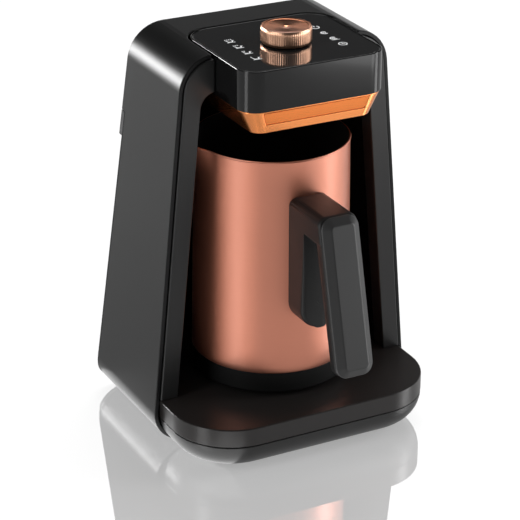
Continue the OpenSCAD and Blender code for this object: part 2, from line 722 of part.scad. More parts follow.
module trim_band() color(orange_copper) place() difference() {
    trim_solid(0, 0, 1);
    difference() {
        trim_solid(trim_t, -0.1, 1);
        translate([0, 0, trim_low_z - 1]) linear_extrude(ledge_h + 1) polygon(concat(trim_plan(0, -2)));
    }
    translate([0, 0, trim_low_z - 1]) linear_extrude(ledge_h + 2) polygon(trim_plan(1, trim_t + ledge_w));
    on_trim_face() translate([0, 0, -trim_plate_t]) linear_extrude(2) trim_plate_shape(0.1);
}

module trim_plate() color("#d9742f") place() on_trim_face() translate([0, 0, -trim_plate_t + 0.05])
    linear_extrude(trim_plate_t - 0.15) trim_plate_shape(0);

hood_z = trim_low_z + ledge_h;
lens_y = 6;
lens_r = 4.6;
hood_t = 1.6;
module hood_floor() color(dark) place() difference() {
    translate([0, 0, hood_z]) linear_extrude(hood_t) polygon(trim_plan(1, trim_t + 0.4));
    translate([0, lens_y, hood_z - 1]) cylinder(r = lens_r + fit, h = 4);
    for (k = [-3:3]) translate([k * 7 - 1, -24, hood_z - 1]) cube([2, 14, 4]);
}

module foam_sensor_lens() color("#40141a") place() translate([0, lens_y, 0]) {
    translate([0, 0, hood_z - 0.6]) cylinder(r = lens_r, h = hood_t + 0.8);
    translate([0, 0, hood_z + hood_t]) cylinder(r = lens_r + 1.6, h = 1);
}

sensor_board_w = 32;
sensor_board_l = 24;
sensor_board_t = 1.4;
sensor_board_up = 3.2;
sensor_board_y = lens_y + 2;
sensor_post_in = 3;
module foam_sensor_board() color(board_green) place() difference() {
    union() {
        translate([-sensor_board_w / 2, sensor_board_y - sensor_board_l / 2, hood_z + sensor_board_up])
            cube([sensor_board_w, sensor_board_l, sensor_board_t]);
        for (x = [-1, 1], y = [-1, 1])
            translate([x * (sensor_board_w / 2 - sensor_post_in), sensor_board_y + y * (sensor_board_l / 2 - sensor_post_in), hood_z + hood_t])
                cylinder(r = 2, h = sensor_board_up - hood_t + 0.1);
    }
    translate([0, lens_y, hood_z + 3]) cylinder(r = 2.4, h = 2);
}

// ---- Electrics in the base -------------------------------------------------

parts_z = board_z + board_t;
module power_board() color(board_green) place() difference() {
    translate([board_x, board_y, board_z]) cube([board_w, board_l, board_t]);
    at_board_posts() translate([0, 0, board_z - 1]) cylinder(r = 1.2, h = 4);
}
part_x = board_x + 8;
relay_w = 15;
relay_h = 10.5;
coil_w = 16;
coil_l = 20;
coil_foot = 3;
coil_h = 7.5;
cap_r = 5;
cap_h = 10.5;
film_h = 8;
part_gap = 6;
relay_y = board_y + board_l - 5 - relay_w;
coil_y = relay_y - part_gap - coil_l;
cap_y = coil_y - part_gap - cap_r;
module relay() color("#2d5fb0") place() translate([part_x, relay_y, parts_z]) cube([relay_w, relay_w, relay_h]);
module transformer() color("#d7b23c") place() translate([part_x, coil_y, parts_z]) {
    cube([coil_w, coil_l, coil_foot]);
    translate([2, 3, coil_foot - 0.1]) cube([coil_w - 4, coil_l - 6, coil_h]);
}
module capacitor() color("#303a5c") place() translate([part_x + cap_r, cap_y, parts_z]) {
    cylinder(r = cap_r, h = cap_h);
    translate([-cap_r, -2 * cap_r + 0.6, 0]) cube([2 * cap_r, cap_r - 1, film_h]);
}
block_w = 14;
block_l = 26;
block_h = 9;
block_x = pan_r - base_half + 0.3;
block_y = tray_back - 22 - block_l;
pole_pitch = 8;
pole_r = 2.2;
module terminal_block() color("#e7e2d2") place() translate([block_x, block_y, inner_floor_top]) difference() {
    cube([block_w, block_l, block_h]);
    for (k = [0:2]) translate([block_w / 2, block_l / 2 + (k - 1) * pole_pitch, block_h / 2]) cylinder(r = pole_r, h = block_h);
}

// A round bundle along a list of points
module bundle(points, r) {
    for (k = [0:len(points) - 2]) {
        a = points[k];
        d = points[k + 1] - a;
        l = norm(d);
        translate(a) rotate([0, acos(d[2] / l), atan2(d[1], d[0])]) cylinder(r = r, h = l, $fn = 8);
    }
    for (k = [1:len(points) - 2]) translate(points[k]) sphere(r = r * 1.15, $fn = 10);
}

harness_x = half_w(tray_z) - bezel_w - alcove_r + 16;
function liner_back(x) = let (cx = half_w(tray_z) - bezel_w - alcove_r)
    alcove_d - alcove_r + sqrt(pow(alcove_r + liner_t, 2) - pow(x - cx, 2));
module main_harness() color("#9c2f2a") place() {
    x = harness_x;
    y = liner_back(harness_x) + harness_r + 0.5;
    bundle([[part_x, board_y + board_l + 2, parts_z + 1], [x, tray_back + 4, base_seam_z + 6],
            [x, back_y(tray_z + 90) - cover_d - wrap_t - harness_r, tray_z + 90], [x, y, 190], [x, y, ceiling_z + liner_t + harness_r + 1],
            [x - 4, y - 7, control_z - 3.4], [plug_x, head_rear + 4, control_z - 3.4],
            [plug_x, head_rear - head_t - 2, control_z - 3.4]], harness_r);
}

lead_r = 1;
module mains_leads() color("#7a5a2c") place() for (k = [0:1]) {
    x = block_x + block_w / 2 + (k - 0.5) * 2.2 * lead_r;
    z = gland_z + (k - 0.5) * 3 * lead_r;
    y = block_y + block_l / 2 + (k - 1) * pole_pitch;
    bundle([[gland_x - 6, tray_back + 4, z], [x, tray_back - 8, z], [x, y, z], [x, y, inner_floor_top + block_h * 0.7]], lead_r);
}

gland_out = 1.8;
module cord_gland() color(rubber_black) place() translate([gland_x, back_y(gland_z) + gland_out, gland_z]) rotate([90, 0, 0]) difference() {
    union() {
        cylinder(r = gland_r + 1.6, h = gland_out - 0.8);
        cylinder(r = gland_r, h = 9);
        translate([0, 0, gland_out + wrap_t + 1.6]) cylinder(r = gland_r + 1.2, h = 2);
    }
    translate([0, 0, -1]) cylinder(r = gland_bore_r, h = 12);
}

// ---- Pot -------------------------------------------------------------------

pot_tan = (pot_base_r - pot_rim_r) / (pot_rim_z - pot_low_z);
function pot_r(z) = pot_base_r - pot_tan * (z - pot_low_z);
disc_t = 2.6;
step_low_z = pot_bottom_z + disc_t;
rim_roll = 0.5;

// Half section of the pot's wall, drawn in by i, with the stepped foot
function pot_section(i, top) = [
    [0, step_low_z + i], [step_r - i, step_low_z + i], [step_r - i, pot_low_z + i],
    [pot_r(pot_low_z) - i, pot_low_z + i], [pot_r(top) - i, top], [0, top]];

spout_drop = 24;
module spout_form(i) {
    tip = pot_rim_r + spout_reach - i;
    hull() {
        translate([-pot_r(pot_rim_z - spout_drop) + 3 + i, 0, pot_rim_z - spout_drop + i]) sphere(r = 1, $fn = 8);
        translate([-tip + 1.5, 0, pot_rim_z + 1.2]) cylinder(r = 1.5, h = 2, $fn = 24);
        for (s = [-1, 1]) translate([-sqrt(pow(pot_rim_r, 2) - pow(spout_half, 2)) + 1 + i, s * (spout_half - i), pot_rim_z - 1])
            cylinder(r = 0.6, h = 2 + (i > 0 ? 1 : 0), $fn = 12);
    }
}

module pot_body() color(rose_copper) place() translate([0, pot_y, 0]) difference() {
    union() {
        rotate_extrude($fn = 96) polygon(pot_section(0, pot_rim_z));
        translate([0, 0, pot_rim_z - 1]) tube(pot_r(pot_rim_z) + rim_roll, pot_r(pot_rim_z) - pot_t, 1);
        spout_form(0);
    }
    rotate_extrude($fn = 96) polygon(pot_section(pot_t, pot_rim_z + 9));
    translate([0, 0, 2.3]) spout_form(pot_t);
}

ring_in = 0.8;
module pot_base_ring() color(rubber_black) place() translate([0, pot_y, 0]) difference() {
    rotate_extrude($fn = 96) polygon([
        [step_r + fit, pot_bottom_z], [pot_base_r - ring_in - 1, pot_bottom_z], [pot_base_r - ring_in, pot_bottom_z + 1],
        [pot_base_r - ring_in, pot_low_z], [step_r + fit, pot_low_z]]);
}

module pot_base_disc() color(steel) place() translate([0, pot_y, pot_bottom_z]) {
    cylinder(r = step_r - 1, h = disc_t);
}

// ---- Handle ----------------------------------------------------------------

post_top_r = 5;
post_low_r = handle_half - 0.4;
function post_outline(low, low_r) = concat(
    arc(handle_half - low_r, low + low_r, low_r, -90, 0), arc(handle_half - post_top_r, handle_z - post_top_r, post_top_r, 0, 90),
    arc(-handle_half + post_top_r, handle_z - post_top_r, post_top_r, 90, 180), arc(-handle_half + low_r, low + low_r, low_r, 180, 270));

// Places a drawing on the sloping seam between grip and cover, its Y axis running up the grip
module on_grip() { translate([0, -grip_front, handle_z]) rotate([90 - grip_tilt, 0, 0]) children(); }
function grip_outline(i) = let (r = 7 - i, w = grip_half - i) concat(
    arc(w - r, -grip_len + i + r, r, -90, 0), arc(w - r, -i - r, r, 0, 90),
    arc(-w + r, -i - r, r, 90, 180), arc(-w + r, -grip_len + i + r, r, 180, 270));

bracket_z = [100, 132];
bracket_half = 7;
bracket_t = 1.6;
bracket_y = -(pot_r(post_low_z) - pot_y) - 1.2;
pocket_gap = 0.3;
head_sink = 5;
grip_screw_at = [-26, -66];
module at_grip_screws() { on_grip() for (u = grip_screw_at) translate([0, u, 0]) children(); }
module at_bracket_screws() { for (z = bracket_z) translate([0, -post_front, z]) rotate([-90, 0, 0]) children(); }

module handle_shell() color(dark) place() difference() {
    union() {
        along_y(-post_front, pot_y) polygon(post_outline(post_low_z, post_low_r));
        intersection() {
            along_y(-grip_front - 8, -post_front + 2) polygon(post_outline(handle_z - arm_h, 3));
            on_grip() translate([-far / 2, -far / 2, -far]) cube([far, far, far]);
        }
        on_grip() translate([0, 0, -grip_core_t]) linear_extrude(grip_core_t) polygon(grip_outline(0.3));
    }
    translate([0, pot_y, post_low_z - 5]) cylinder(
        r1 = pot_r(post_low_z - 5) + fit, r2 = pot_r(handle_z + 5) + fit, h = handle_z - post_low_z + 10, $fn = 96);
    translate([-bracket_half - pocket_gap, bracket_y - bracket_t - pocket_gap, bracket_z[0] - 12 - pocket_gap])
        cube([2 * (bracket_half + pocket_gap), 12, bracket_z[1] - bracket_z[0] + 24 + 2 * pocket_gap]);
    at_bracket_screws() {
        translate([0, 0, -1]) cylinder(r = head_screw_r + 0.3, h = head_sink + 1);
        cylinder(r = screw_r + 0.2, h = 20);
    }
    at_grip_screws() {
        translate([0, 0, -grip_core_t - 10]) cylinder(r = head_screw_r + 0.3, h = 12.4);
        translate([0, 0, -grip_core_t - 1]) cylinder(r = screw_r + 0.2, h = grip_core_t + 2);
    }
}

module handle_bracket() color(steel) place() difference() {
    union() {
        translate([-bracket_half, bracket_y - bracket_t, bracket_z[0] - 12])
            cube([2 * bracket_half, bracket_t, bracket_z[1] - bracket_z[0] + 24]);
        for (z = bracket_z) translate([0, bracket_y + 6, z]) rotate([90, 0, 0]) cylinder(r = 4, h = 6 + bracket_t / 2);
    }
    translate([0, pot_y, post_low_z - 5]) cylinder(
        r1 = pot_r(post_low_z - 5) + 0.02, r2 = pot_r(handle_z + 5) + 0.02, h = handle_z - post_low_z + 10, $fn = 96);
    at_bracket_screws() cylinder(r = screw_r + pilot_gap, h = 30);
}

module handle_cover() color(charcoal) place() difference() {
    on_grip() hull() {
        translate([0, 0, seam / 2]) linear_extrude(0.9) polygon(grip_outline(0));
        translate([0, 0, grip_cover_t - 0.1]) linear_extrude(0.1) polygon(grip_outline(cover_chamfer));
    }
    at_grip_screws() translate([0, 0, -1]) cylinder(r = screw_r + pilot_gap, h = 4);
}

module handle_screws() color(steel) place() at_grip_screws() translate([0, 0, 2.4 - grip_core_t]) screw(grip_core_t + 0.2);
module bracket_screws() color(steel) place() at_bracket_screws()
    translate([0, 0, head_sink]) screw(post_front + bracket_y - head_sink + 0.6);

// Caps that close the post's two screw holes, flush with its face and resting on the screws' heads
module bracket_plugs() color(dark) place() at_bracket_screws() cylinder(r = head_screw_r + 0.3 - fit, h = head_sink - screw_head_h);

outer_casing();
rear_cover();
front_bezel();
alcove_liner();
base_tray();
base_pan();
rubber_feet();
hot_plate();
plate_seal();
plate_clamp_ring();
heating_element();
heat_shield();
temperature_sensor();
thermal_fuse();
head_housing();
touch_panel();
control_board();
indicator_lights();
buzzer();
encoder_body();
encoder_rotor();
encoder_shaft();
knob_hub();
knob_cap();
trim_band();
trim_plate();
hood_floor();
foam_sensor_lens();
foam_sensor_board();
power_board();
relay();
transformer();
capacitor();
terminal_block();
main_harness();
mains_leads();
cord_gland();
base_screws();
rear_cover_screws();
clamp_screws();
head_screws();
pot_body();
pot_base_ring();
pot_base_disc();
handle_bracket();
handle_shell();
handle_cover();
handle_screws();
bracket_screws();
bracket_plugs();
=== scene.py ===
"""Looks of an electric Turkish coffee maker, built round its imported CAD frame."""

import logging
import math
import sys
from dataclasses import dataclass, field
from enum import Enum
from functools import cache
from typing import Sequence

import bmesh
import bpy
from mathutils import Matrix, Vector


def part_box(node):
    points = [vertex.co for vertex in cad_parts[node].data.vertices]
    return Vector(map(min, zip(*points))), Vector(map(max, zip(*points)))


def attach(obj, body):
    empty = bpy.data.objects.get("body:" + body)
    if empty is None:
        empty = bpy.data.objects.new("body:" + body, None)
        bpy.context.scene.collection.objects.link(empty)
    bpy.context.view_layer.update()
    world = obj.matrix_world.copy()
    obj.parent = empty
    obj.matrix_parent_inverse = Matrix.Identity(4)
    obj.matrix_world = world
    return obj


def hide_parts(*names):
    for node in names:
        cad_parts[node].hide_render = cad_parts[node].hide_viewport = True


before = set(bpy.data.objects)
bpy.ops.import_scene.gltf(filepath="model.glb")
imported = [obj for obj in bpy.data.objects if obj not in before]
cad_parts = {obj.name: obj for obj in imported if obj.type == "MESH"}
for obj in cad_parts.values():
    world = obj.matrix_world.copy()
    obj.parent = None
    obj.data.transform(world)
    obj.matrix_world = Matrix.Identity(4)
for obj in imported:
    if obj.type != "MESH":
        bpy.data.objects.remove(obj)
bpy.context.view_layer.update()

LOG = logging.getLogger("coffee_maker")
MM = 0.001

Point = tuple[float, float, float]
Pair = tuple[float, float]
Box = tuple[float, float, float, float]
Outline = list[Pair]
Socket = bpy.types.NodeSocket


def extent(node: str) -> tuple[Vector, Vector]:
    """Gives a CAD node's lowest and highest corner.

    Args:
        node: The node's name.

    Returns:
        Both corners, in mm.
    """
    low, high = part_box(node)
    return low / MM, high / MM


KNOB_LOW, KNOB_HIGH = extent("knob_cap")
POT_LOW, POT_HIGH = extent("pot_body")
# Places of the knob's and the pot's upright axes from front to back, in metres; both stand at x = 0.
KNOB_Y = (KNOB_LOW.y + KNOB_HIGH.y) / 2 * MM
POT_Y = (POT_LOW.y + POT_HIGH.y) / 2 * MM


class Body(Enum):
    """The CAD bodies that pieces ride on."""

    MACHINE = "machine"
    KNOB = "knob"
    POT = "pot"


class Grain(Enum):
    """Direction in which a brushed metal was worked."""

    ALONG_Z = "along_z"
    AROUND_Z = "around_z"
    SPUN = "spun"


class Sign(Enum):
    """What an icon on the touch panel shows."""

    CUP = "cup"
    CLOCK = "clock"
    BEAN = "bean"
    BEAN_BARRED = "bean_barred"
    POWER = "power"


# ---------------------------------------------------------------------------
# Nodes
# ---------------------------------------------------------------------------


class Wiring:
    """Adds and links nodes in one node tree."""

    def __init__(self, tree: bpy.types.NodeTree) -> None:
        """Takes the tree to work in."""
        self.tree = tree

    def node(self, kind: str, **settings: object) -> bpy.types.Node:
        """Adds a node.

        Args:
            kind: Node type.
            **settings: Properties to set on it.

        Returns:
            The new node.
        """
        made = self.tree.nodes.new(kind)
        for key, value in settings.items():
            setattr(made, key, value)
        return made

    def feed(self, target: Socket, value: object) -> None:
        """Links an input to a socket, or sets it to a fixed value.

        Args:
            target: The input.
            value: An output socket, or a number, vector or colour.
        """
        if isinstance(value, bpy.types.NodeSocket):
            self.tree.links.new(value, target)
        else:
            target.default_value = value

    def math(self, operation: str, *values: object) -> Socket:
        """Adds a Math node.

        Args:
            operation: Its operation.
            *values: Sockets or numbers, in order.

        Returns:
            The result's socket.
        """
        made = self.node("ShaderNodeMath", operation=operation)
        for target, value in zip(made.inputs, values):
            self.feed(target, value)
        return made.outputs[0]

    def pick(self, factor: Socket, no: object, yes: object) -> Socket:
        """Adds a Mix node for numbers.

        Args:
            factor: Share of the second value.
            no: Socket or number at a factor of 0.
            yes: Socket or number at a factor of 1.

        Returns:
            The result's socket.
        """
        made = self.node("ShaderNodeMix")
        for name, value in (("Factor", factor), ("A", no), ("B", yes)):
            self.feed(made.inputs[name], value)
        return made.outputs["Result"]


class GroupMaker(Wiring):
    """Builds one shader node group with named sockets."""

    def __init__(self, name: str) -> None:
        """Starts a group that has no sockets yet.

        Args:
            name: Name of the node group.
        """
        super().__init__(bpy.data.node_groups.new(name, "ShaderNodeTree"))
        self.source = self.node("NodeGroupInput")
        self.sink = self.node("NodeGroupOutput")

    def number(self, name: str) -> Socket:
        """Adds a number input, which each material sets, and gives its socket inside the group."""
        self.tree.interface.new_socket(name, in_out="INPUT", socket_type="NodeSocketFloat")
        return self.source.outputs[name]

    def noise(self, place: Socket, scale: object, detail: float) -> Socket:
        """Adds a Noise Texture.

        Args:
            place: Coordinates that it reads.
            scale: Its scale, a socket or a number.
            detail: Its detail.

        Returns:
            The noise, from 0 to 1.
        """
        made = self.node("ShaderNodeTexNoise", noise_dimensions="3D")
        for name, value in (("Vector", place), ("Scale", scale), ("Detail", detail)):
            self.feed(made.inputs[name], value)
        return made.outputs[0]

    def results(self, height: Socket, mask: Socket, tone: float) -> None:
        """Adds the outputs that every finish reads.

        Args:
            height: Relief of the surface.
            mask: Mask from 0 to 1 that varies roughness and colour.
            tone: How far the mask lightens and darkens the colour.
        """
        rough, spread = self.number("Roughness"), self.number("Roughness spread")
        centred = self.math("SUBTRACT", mask, 0.5)
        outputs = {
            "Height": height,
            "Roughness": self.math("ADD", rough, self.math("MULTIPLY", centred, spread)),
            "Tone": self.math("ADD", 1.0, self.math("MULTIPLY", centred, tone)),
        }
        for name, value in outputs.items():
            self.tree.interface.new_socket(name, in_out="OUTPUT", socket_type="NodeSocketFloat")
            self.feed(self.sink.inputs[name], value)


@cache
def grain_group(marks_scale: float = 22.0, tone: float = 0.12) -> bpy.types.NodeTree:
    """Moulded plastic's fine texture, with soft handling marks.

    Args:
        marks_scale: Handling marks per metre.
        tone: How far they change the colour.

    Returns:
        A group with outputs Height, Roughness and Tone.
    """
    group = GroupMaker("moulded_grain")
    place = group.node("ShaderNodeTexCoord").outputs["Object"]
    fine = group.noise(place, group.number("Scale"), detail=2.0)
    marks = group.noise(place, marks_scale, detail=4.0)
    group.results(fine, marks, tone)
    return group.tree


@cache
def brushed_group(grain: Grain, stretch: float = 1.5, tone: float = 0.1) -> bpy.types.NodeTree:
    """Fine lines of brushed or spun metal.

    Args:
        grain: Direction of the lines.
        stretch: How often a line changes along its length, per metre or radian.
        tone: How far the lines change the colour.

    Returns:
        A group with outputs Height, Roughness and Tone.
    """
    group = GroupMaker(f"brushed_{grain.value}")
    lines, centre_y = group.number("Scale"), group.number("Centre Y")
    split = group.node("ShaderNodeSeparateXYZ")
    group.feed(split.inputs[0], group.node("ShaderNodeTexCoord").outputs["Object"])
    x, z = split.outputs["X"], split.outputs["Z"]
    y = group.math("SUBTRACT", split.outputs["Y"], centre_y)
    radius = group.math("SQRT", group.math("ADD", group.math("MULTIPLY", x, x), group.math("MULTIPLY", y, y)))
    angle = group.math("ARCTAN2", y, x)
    across = {Grain.ALONG_Z: angle, Grain.AROUND_Z: z, Grain.SPUN: radius}[grain]
    along = {Grain.ALONG_Z: z, Grain.AROUND_Z: angle, Grain.SPUN: angle}[grain]
    join = group.node("ShaderNodeCombineXYZ")
    group.feed(join.inputs["X"], group.math("MULTIPLY", across, lines))
    group.feed(join.inputs["Y"], group.math("MULTIPLY", along, stretch))
    brushed = group.noise(join.outputs[0], 1.0, detail=3.0)
    group.results(brushed, brushed, tone)
    return group.tree


# ---------------------------------------------------------------------------
# Finishes
# ---------------------------------------------------------------------------


@dataclass(frozen=True)
class Finish:
    """One material: its name, its record slot and its look."""

    name: str
    slot: str
    colour: Point
    roughness: float = 0.5
    spread: float = 0.08
    metallic: float = 0.0
    coat: float = 0.0
    coat_roughness: float = 0.05
    specular: float = 0.5
    scale: float = 2200.0
    bump_mm: float = 0.01
    bump_strength: float = 0.25
    grain: Grain | None = None
    centre_y: float = 0.0
    anisotropic: float = 0.0
    emission: float = 0.0

    @cache
    def material(self) -> bpy.types.Material:
        """Builds the material, once.

        Returns:
            The Blender material.
        """
        made = bpy.data.materials.new(self.name)
        made.use_nodes = True
        wiring = Wiring(made.node_tree)
        shader = made.node_tree.nodes["Principled BSDF"]
        group = wiring.node("ShaderNodeGroup")
        group.node_tree = brushed_group(self.grain) if self.grain else grain_group()
        given = {"Scale": self.scale, "Roughness": self.roughness, "Roughness spread": self.spread}
        if self.grain:
            given["Centre Y"] = self.centre_y
        for name, value in given.items():
            wiring.feed(group.inputs[name], value)
        tint = wiring.node("ShaderNodeMix", data_type="RGBA", blend_type="MULTIPLY")
        for name, value in (("Factor", 1.0), ("A", (*self.colour, 1.0)), ("B", group.outputs["Tone"])):
            wiring.feed(tint.inputs[name], value)
        bump = wiring.node("ShaderNodeBump")
        for name, value in (("Strength", self.bump_strength), ("Distance", self.bump_mm * MM),
                            ("Height", group.outputs["Height"])):
            wiring.feed(bump.inputs[name], value)
        looks = {
            "Base Color": tint.outputs["Result"],
            "Roughness": group.outputs["Roughness"],
            "Normal": bump.outputs["Normal"],
            "Metallic": self.metallic,
            "Coat Weight": self.coat,
            "Coat Roughness": self.coat_roughness,
            "Specular IOR Level": self.specular,
            "Anisotropic": self.anisotropic,
        }
        # A finish with emission glows in its own colour, which is painted light; only the icons use it.
        if self.emission:
            looks |= {"Emission Color": (*self.colour, 1.0), "Emission Strength": self.emission}
        for name, value in looks.items():
            wiring.feed(shader.inputs[name], value)
        return made


CASING = Finish("casing_satin", "casing_charcoal", (0.012, 0.012, 0.0122), 0.30, 0.03, specular=0.25)
BEZEL = Finish("bezel_charcoal", "casing_charcoal", (0.020, 0.020, 0.0202), 0.32, 0.05)
REAR = Finish("rear_cover_plastic", "cover_dark", (0.018, 0.018, 0.0185), 0.50, 0.08, scale=1500.0,
              bump_mm=0.02)
# The tray's warm dark grey is partly its own colour and partly a painted reflection of the copper pot,
# lightened and warmed.
TRAY = Finish("tray_satin", "casing_charcoal", (0.028, 0.0250, 0.0240), 0.30, 0.04)
PAN = Finish("pan_satin", "casing_charcoal", (0.022, 0.0217, 0.0217), 0.34, 0.06)
LINER = Finish("liner_gloss", "gloss_black", (0.004, 0.004, 0.004), 0.22, 0.05, bump_strength=0.03)
HEAD = Finish("head_gloss", "gloss_black", (0.005, 0.005, 0.0052), 0.14, 0.02, coat=0.3, specular=0.3,
              bump_strength=0.01)
PANEL = Finish("panel_glass_black", "gloss_black", (0.028, 0.028, 0.0285), 0.05, 0.01, coat=1.0,
               coat_roughness=0.02, bump_strength=0.0)
TRIM = Finish("trim_orange_copper", "orange_copper", (1.0, 0.34, 0.105), 0.24, 0.05, metallic=1.0,
              coat=0.3, bump_strength=0.02)
TRIM_IN = Finish("trim_inset_copper", "orange_copper", (0.90, 0.26, 0.065), 0.20, 0.05, metallic=1.0,
                 coat=0.2, bump_strength=0.02)
POT_OUT = Finish("pot_copper_satin", "rose_copper", (0.72, 0.270, 0.172), 0.38, 0.05, metallic=1.0,
                 coat=0.8, coat_roughness=0.3, grain=Grain.AROUND_Z, scale=9000.0, bump_strength=0.10,
                 centre_y=POT_Y, anisotropic=0.8)
POT_IN = Finish("pot_inside_dark", "rose_copper", (0.03, 0.026, 0.025), 0.32, 0.1, metallic=0.6,
                grain=Grain.AROUND_Z, scale=3800.0, bump_strength=0.1, centre_y=POT_Y)
# Side and top are one rose copper; the side's paler colour and the top's deeper orange are painted light and
# shade.
KNOB_SIDE = Finish("knob_rose_side", "rose_copper", (1.0, 0.57, 0.38), 0.28, 0.06, metallic=1.0,
                   grain=Grain.ALONG_Z, scale=900.0, bump_strength=0.3, centre_y=KNOB_Y)
KNOB_TOP = Finish("knob_rose_spun", "rose_copper", (0.98, 0.43, 0.25), 0.24, 0.08, metallic=1.0,
                  grain=Grain.SPUN, scale=6500.0, bump_mm=0.02, bump_strength=0.3, centre_y=KNOB_Y,
                  anisotropic=0.85)
HANDLE = Finish("handle_black_satin", "cover_dark", (0.020, 0.0198, 0.0198), 0.42, 0.05, specular=0.35,
                bump_strength=0.12)
HANDLE_COVER = Finish("handle_cover_satin", "casing_charcoal", (0.046, 0.046, 0.0465), 0.34, 0.05,
                      bump_strength=0.10)
RUBBER = Finish("rubber_black", "rubber", (0.010, 0.010, 0.010), 0.75, 0.1, scale=1400.0, bump_mm=0.03)
RING = Finish("pot_ring_black", "rubber", (0.003, 0.003, 0.003), 0.55, 0.1, specular=0.2)
PLATE = Finish("plate_coated", "plate_metal", (0.05, 0.05, 0.052), 0.38, 0.12, metallic=0.7,
               grain=Grain.SPUN, scale=3500.0, bump_mm=0.02, bump_strength=0.2, centre_y=POT_Y)
STEEL = Finish("zinc_plated_steel", "steel", (0.56, 0.57, 0.58), 0.33, 0.12, metallic=1.0,
               bump_strength=0.05)
BOARD = Finish("board_green", "board", (0.015, 0.14, 0.05), 0.4, 0.1, scale=700.0, bump_mm=0.02)
WHITE = Finish("white_moulding", "white_parts", (0.75, 0.73, 0.68), 0.4, 0.1)
BLUE = Finish("blue_moulding", "blue_parts", (0.03, 0.09, 0.32), 0.35, 0.1)
WIRE = Finish("wire_insulation", "copper_wire", (0.35, 0.04, 0.03), 0.45, 0.1)
# The icons' white print also glows in its own colour at strength 0.5: painted light.
ICON = Finish("icon_print_painted_glow", "white_parts", (0.86, 0.87, 0.88), 0.45, 0.02, bump_strength=0.0, emission=0.5)
LENS = Finish("sensor_lens", "gloss_black", (0.05, 0.006, 0.008), 0.08, 0.01, coat=1.0, bump_strength=0.0)


# ---------------------------------------------------------------------------
# Meshes and pieces
# ---------------------------------------------------------------------------


def object_from(name: str, mesh: bpy.types.Mesh) -> bpy.types.Object:
    """Links a mesh to the scene as an object at the origin.

    Args:
        name: Object's name.
        mesh: Its mesh.

    Returns:
        The new object.
    """
    made = bpy.data.objects.new(name, mesh)
    bpy.context.scene.collection.objects.link(made)
    return made


def bake(obj: bpy.types.Object) -> None:
    """Turns an object's modifiers into its plain mesh.

    Args:
        obj: The object.
    """
    bpy.context.view_layer.update()
    depsgraph = bpy.context.evaluated_depsgraph_get()
    plain = bpy.data.meshes.new_from_object(obj.evaluated_get(depsgraph), preserve_all_data_layers=True,
                                            depsgraph=depsgraph)
    obj.modifiers.clear()
    old = obj.data
    obj.data = plain
    bpy.data.meshes.remove(old)


def smooth(mesh: bpy.types.Mesh, angle: float) -> None:
    """Shades a mesh smooth, with its edges over an angle left sharp.

    Args:
        mesh: The mesh.
        angle: Largest smooth angle, in degrees.
    """
    mesh.polygons.foreach_set("use_smooth", [True] * len(mesh.polygons))
    mesh.set_sharp_from_angle(angle=math.radians(angle))


def weld(mesh: bpy.types.Mesh, turn: bool, gap: float = 1e-6) -> None:
    """Merges a mesh's doubles and may turn its faces outwards.

    Args:
        mesh: The mesh.
        turn: Whether to recalculate which way the faces point.
        gap: Largest distance between doubles, in metres.
    """
    work = bmesh.new()
    work.from_mesh(mesh)
    bmesh.ops.remove_doubles(work, verts=work.verts, dist=gap)
    if turn:
        bmesh.ops.recalc_face_normals(work, faces=work.faces)
    work.to_mesh(mesh)
    work.free()


def lathe(name: str, rings: Sequence[Sequence[Point]], close: bool) -> bpy.types.Mesh:
    """Joins rings of points, each with the same count, into a skin.

    Args:
        name: Mesh name.
        rings: The rings, in order along the profile. Faces of an open skin look away from the
            axis where the profile goes up, and up where it goes inwards.
        close: Whether the last ring joins the first.

    Returns:
        The mesh.
    """
    count = len(rings[0])
    faces = []
    for k in range(len(rings) if close else len(rings) - 1):
        a, b = k * count, (k + 1) % len(rings) * count
        faces += [(a + i, a + (i + 1) % count, b + (i + 1) % count, b + i) for i in range(count)]
    mesh = bpy.data.meshes.new(name)
    mesh.from_pydata([point for ring in rings for point in ring], [], faces)
    weld(mesh, turn=close)
    return mesh


def settle(obj: bpy.types.Object, finish: Finish, body: Body, *nodes: str) -> None:
    """Gives a finished piece its material and body, and hides the CAD nodes that it replaces.

    Args:
        obj: The piece.
        finish: Its finish, unless its mesh has materials already.
        body: The body it rides on.
        *nodes: CAD nodes that it replaces.
    """
    if not obj.data.materials:
        obj.data.materials.append(finish.material())
    if nodes:
        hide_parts(*nodes)
    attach(obj, body.value)
    LOG.info("piece %s: %s, %d faces, rides on %s", obj.name, finish.name, len(obj.data.polygons), body.value)


def dress(finish: Finish, *nodes: str) -> None:
    """Gives CAD nodes that stay as they are a finish.

    Args:
        finish: The finish.
        *nodes: Names of the nodes.
    """
    for node in nodes:
        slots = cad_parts[node].data.materials
        slots.clear()
        slots.append(finish.material())
        LOG.info("node %s: %s", node, finish.name)


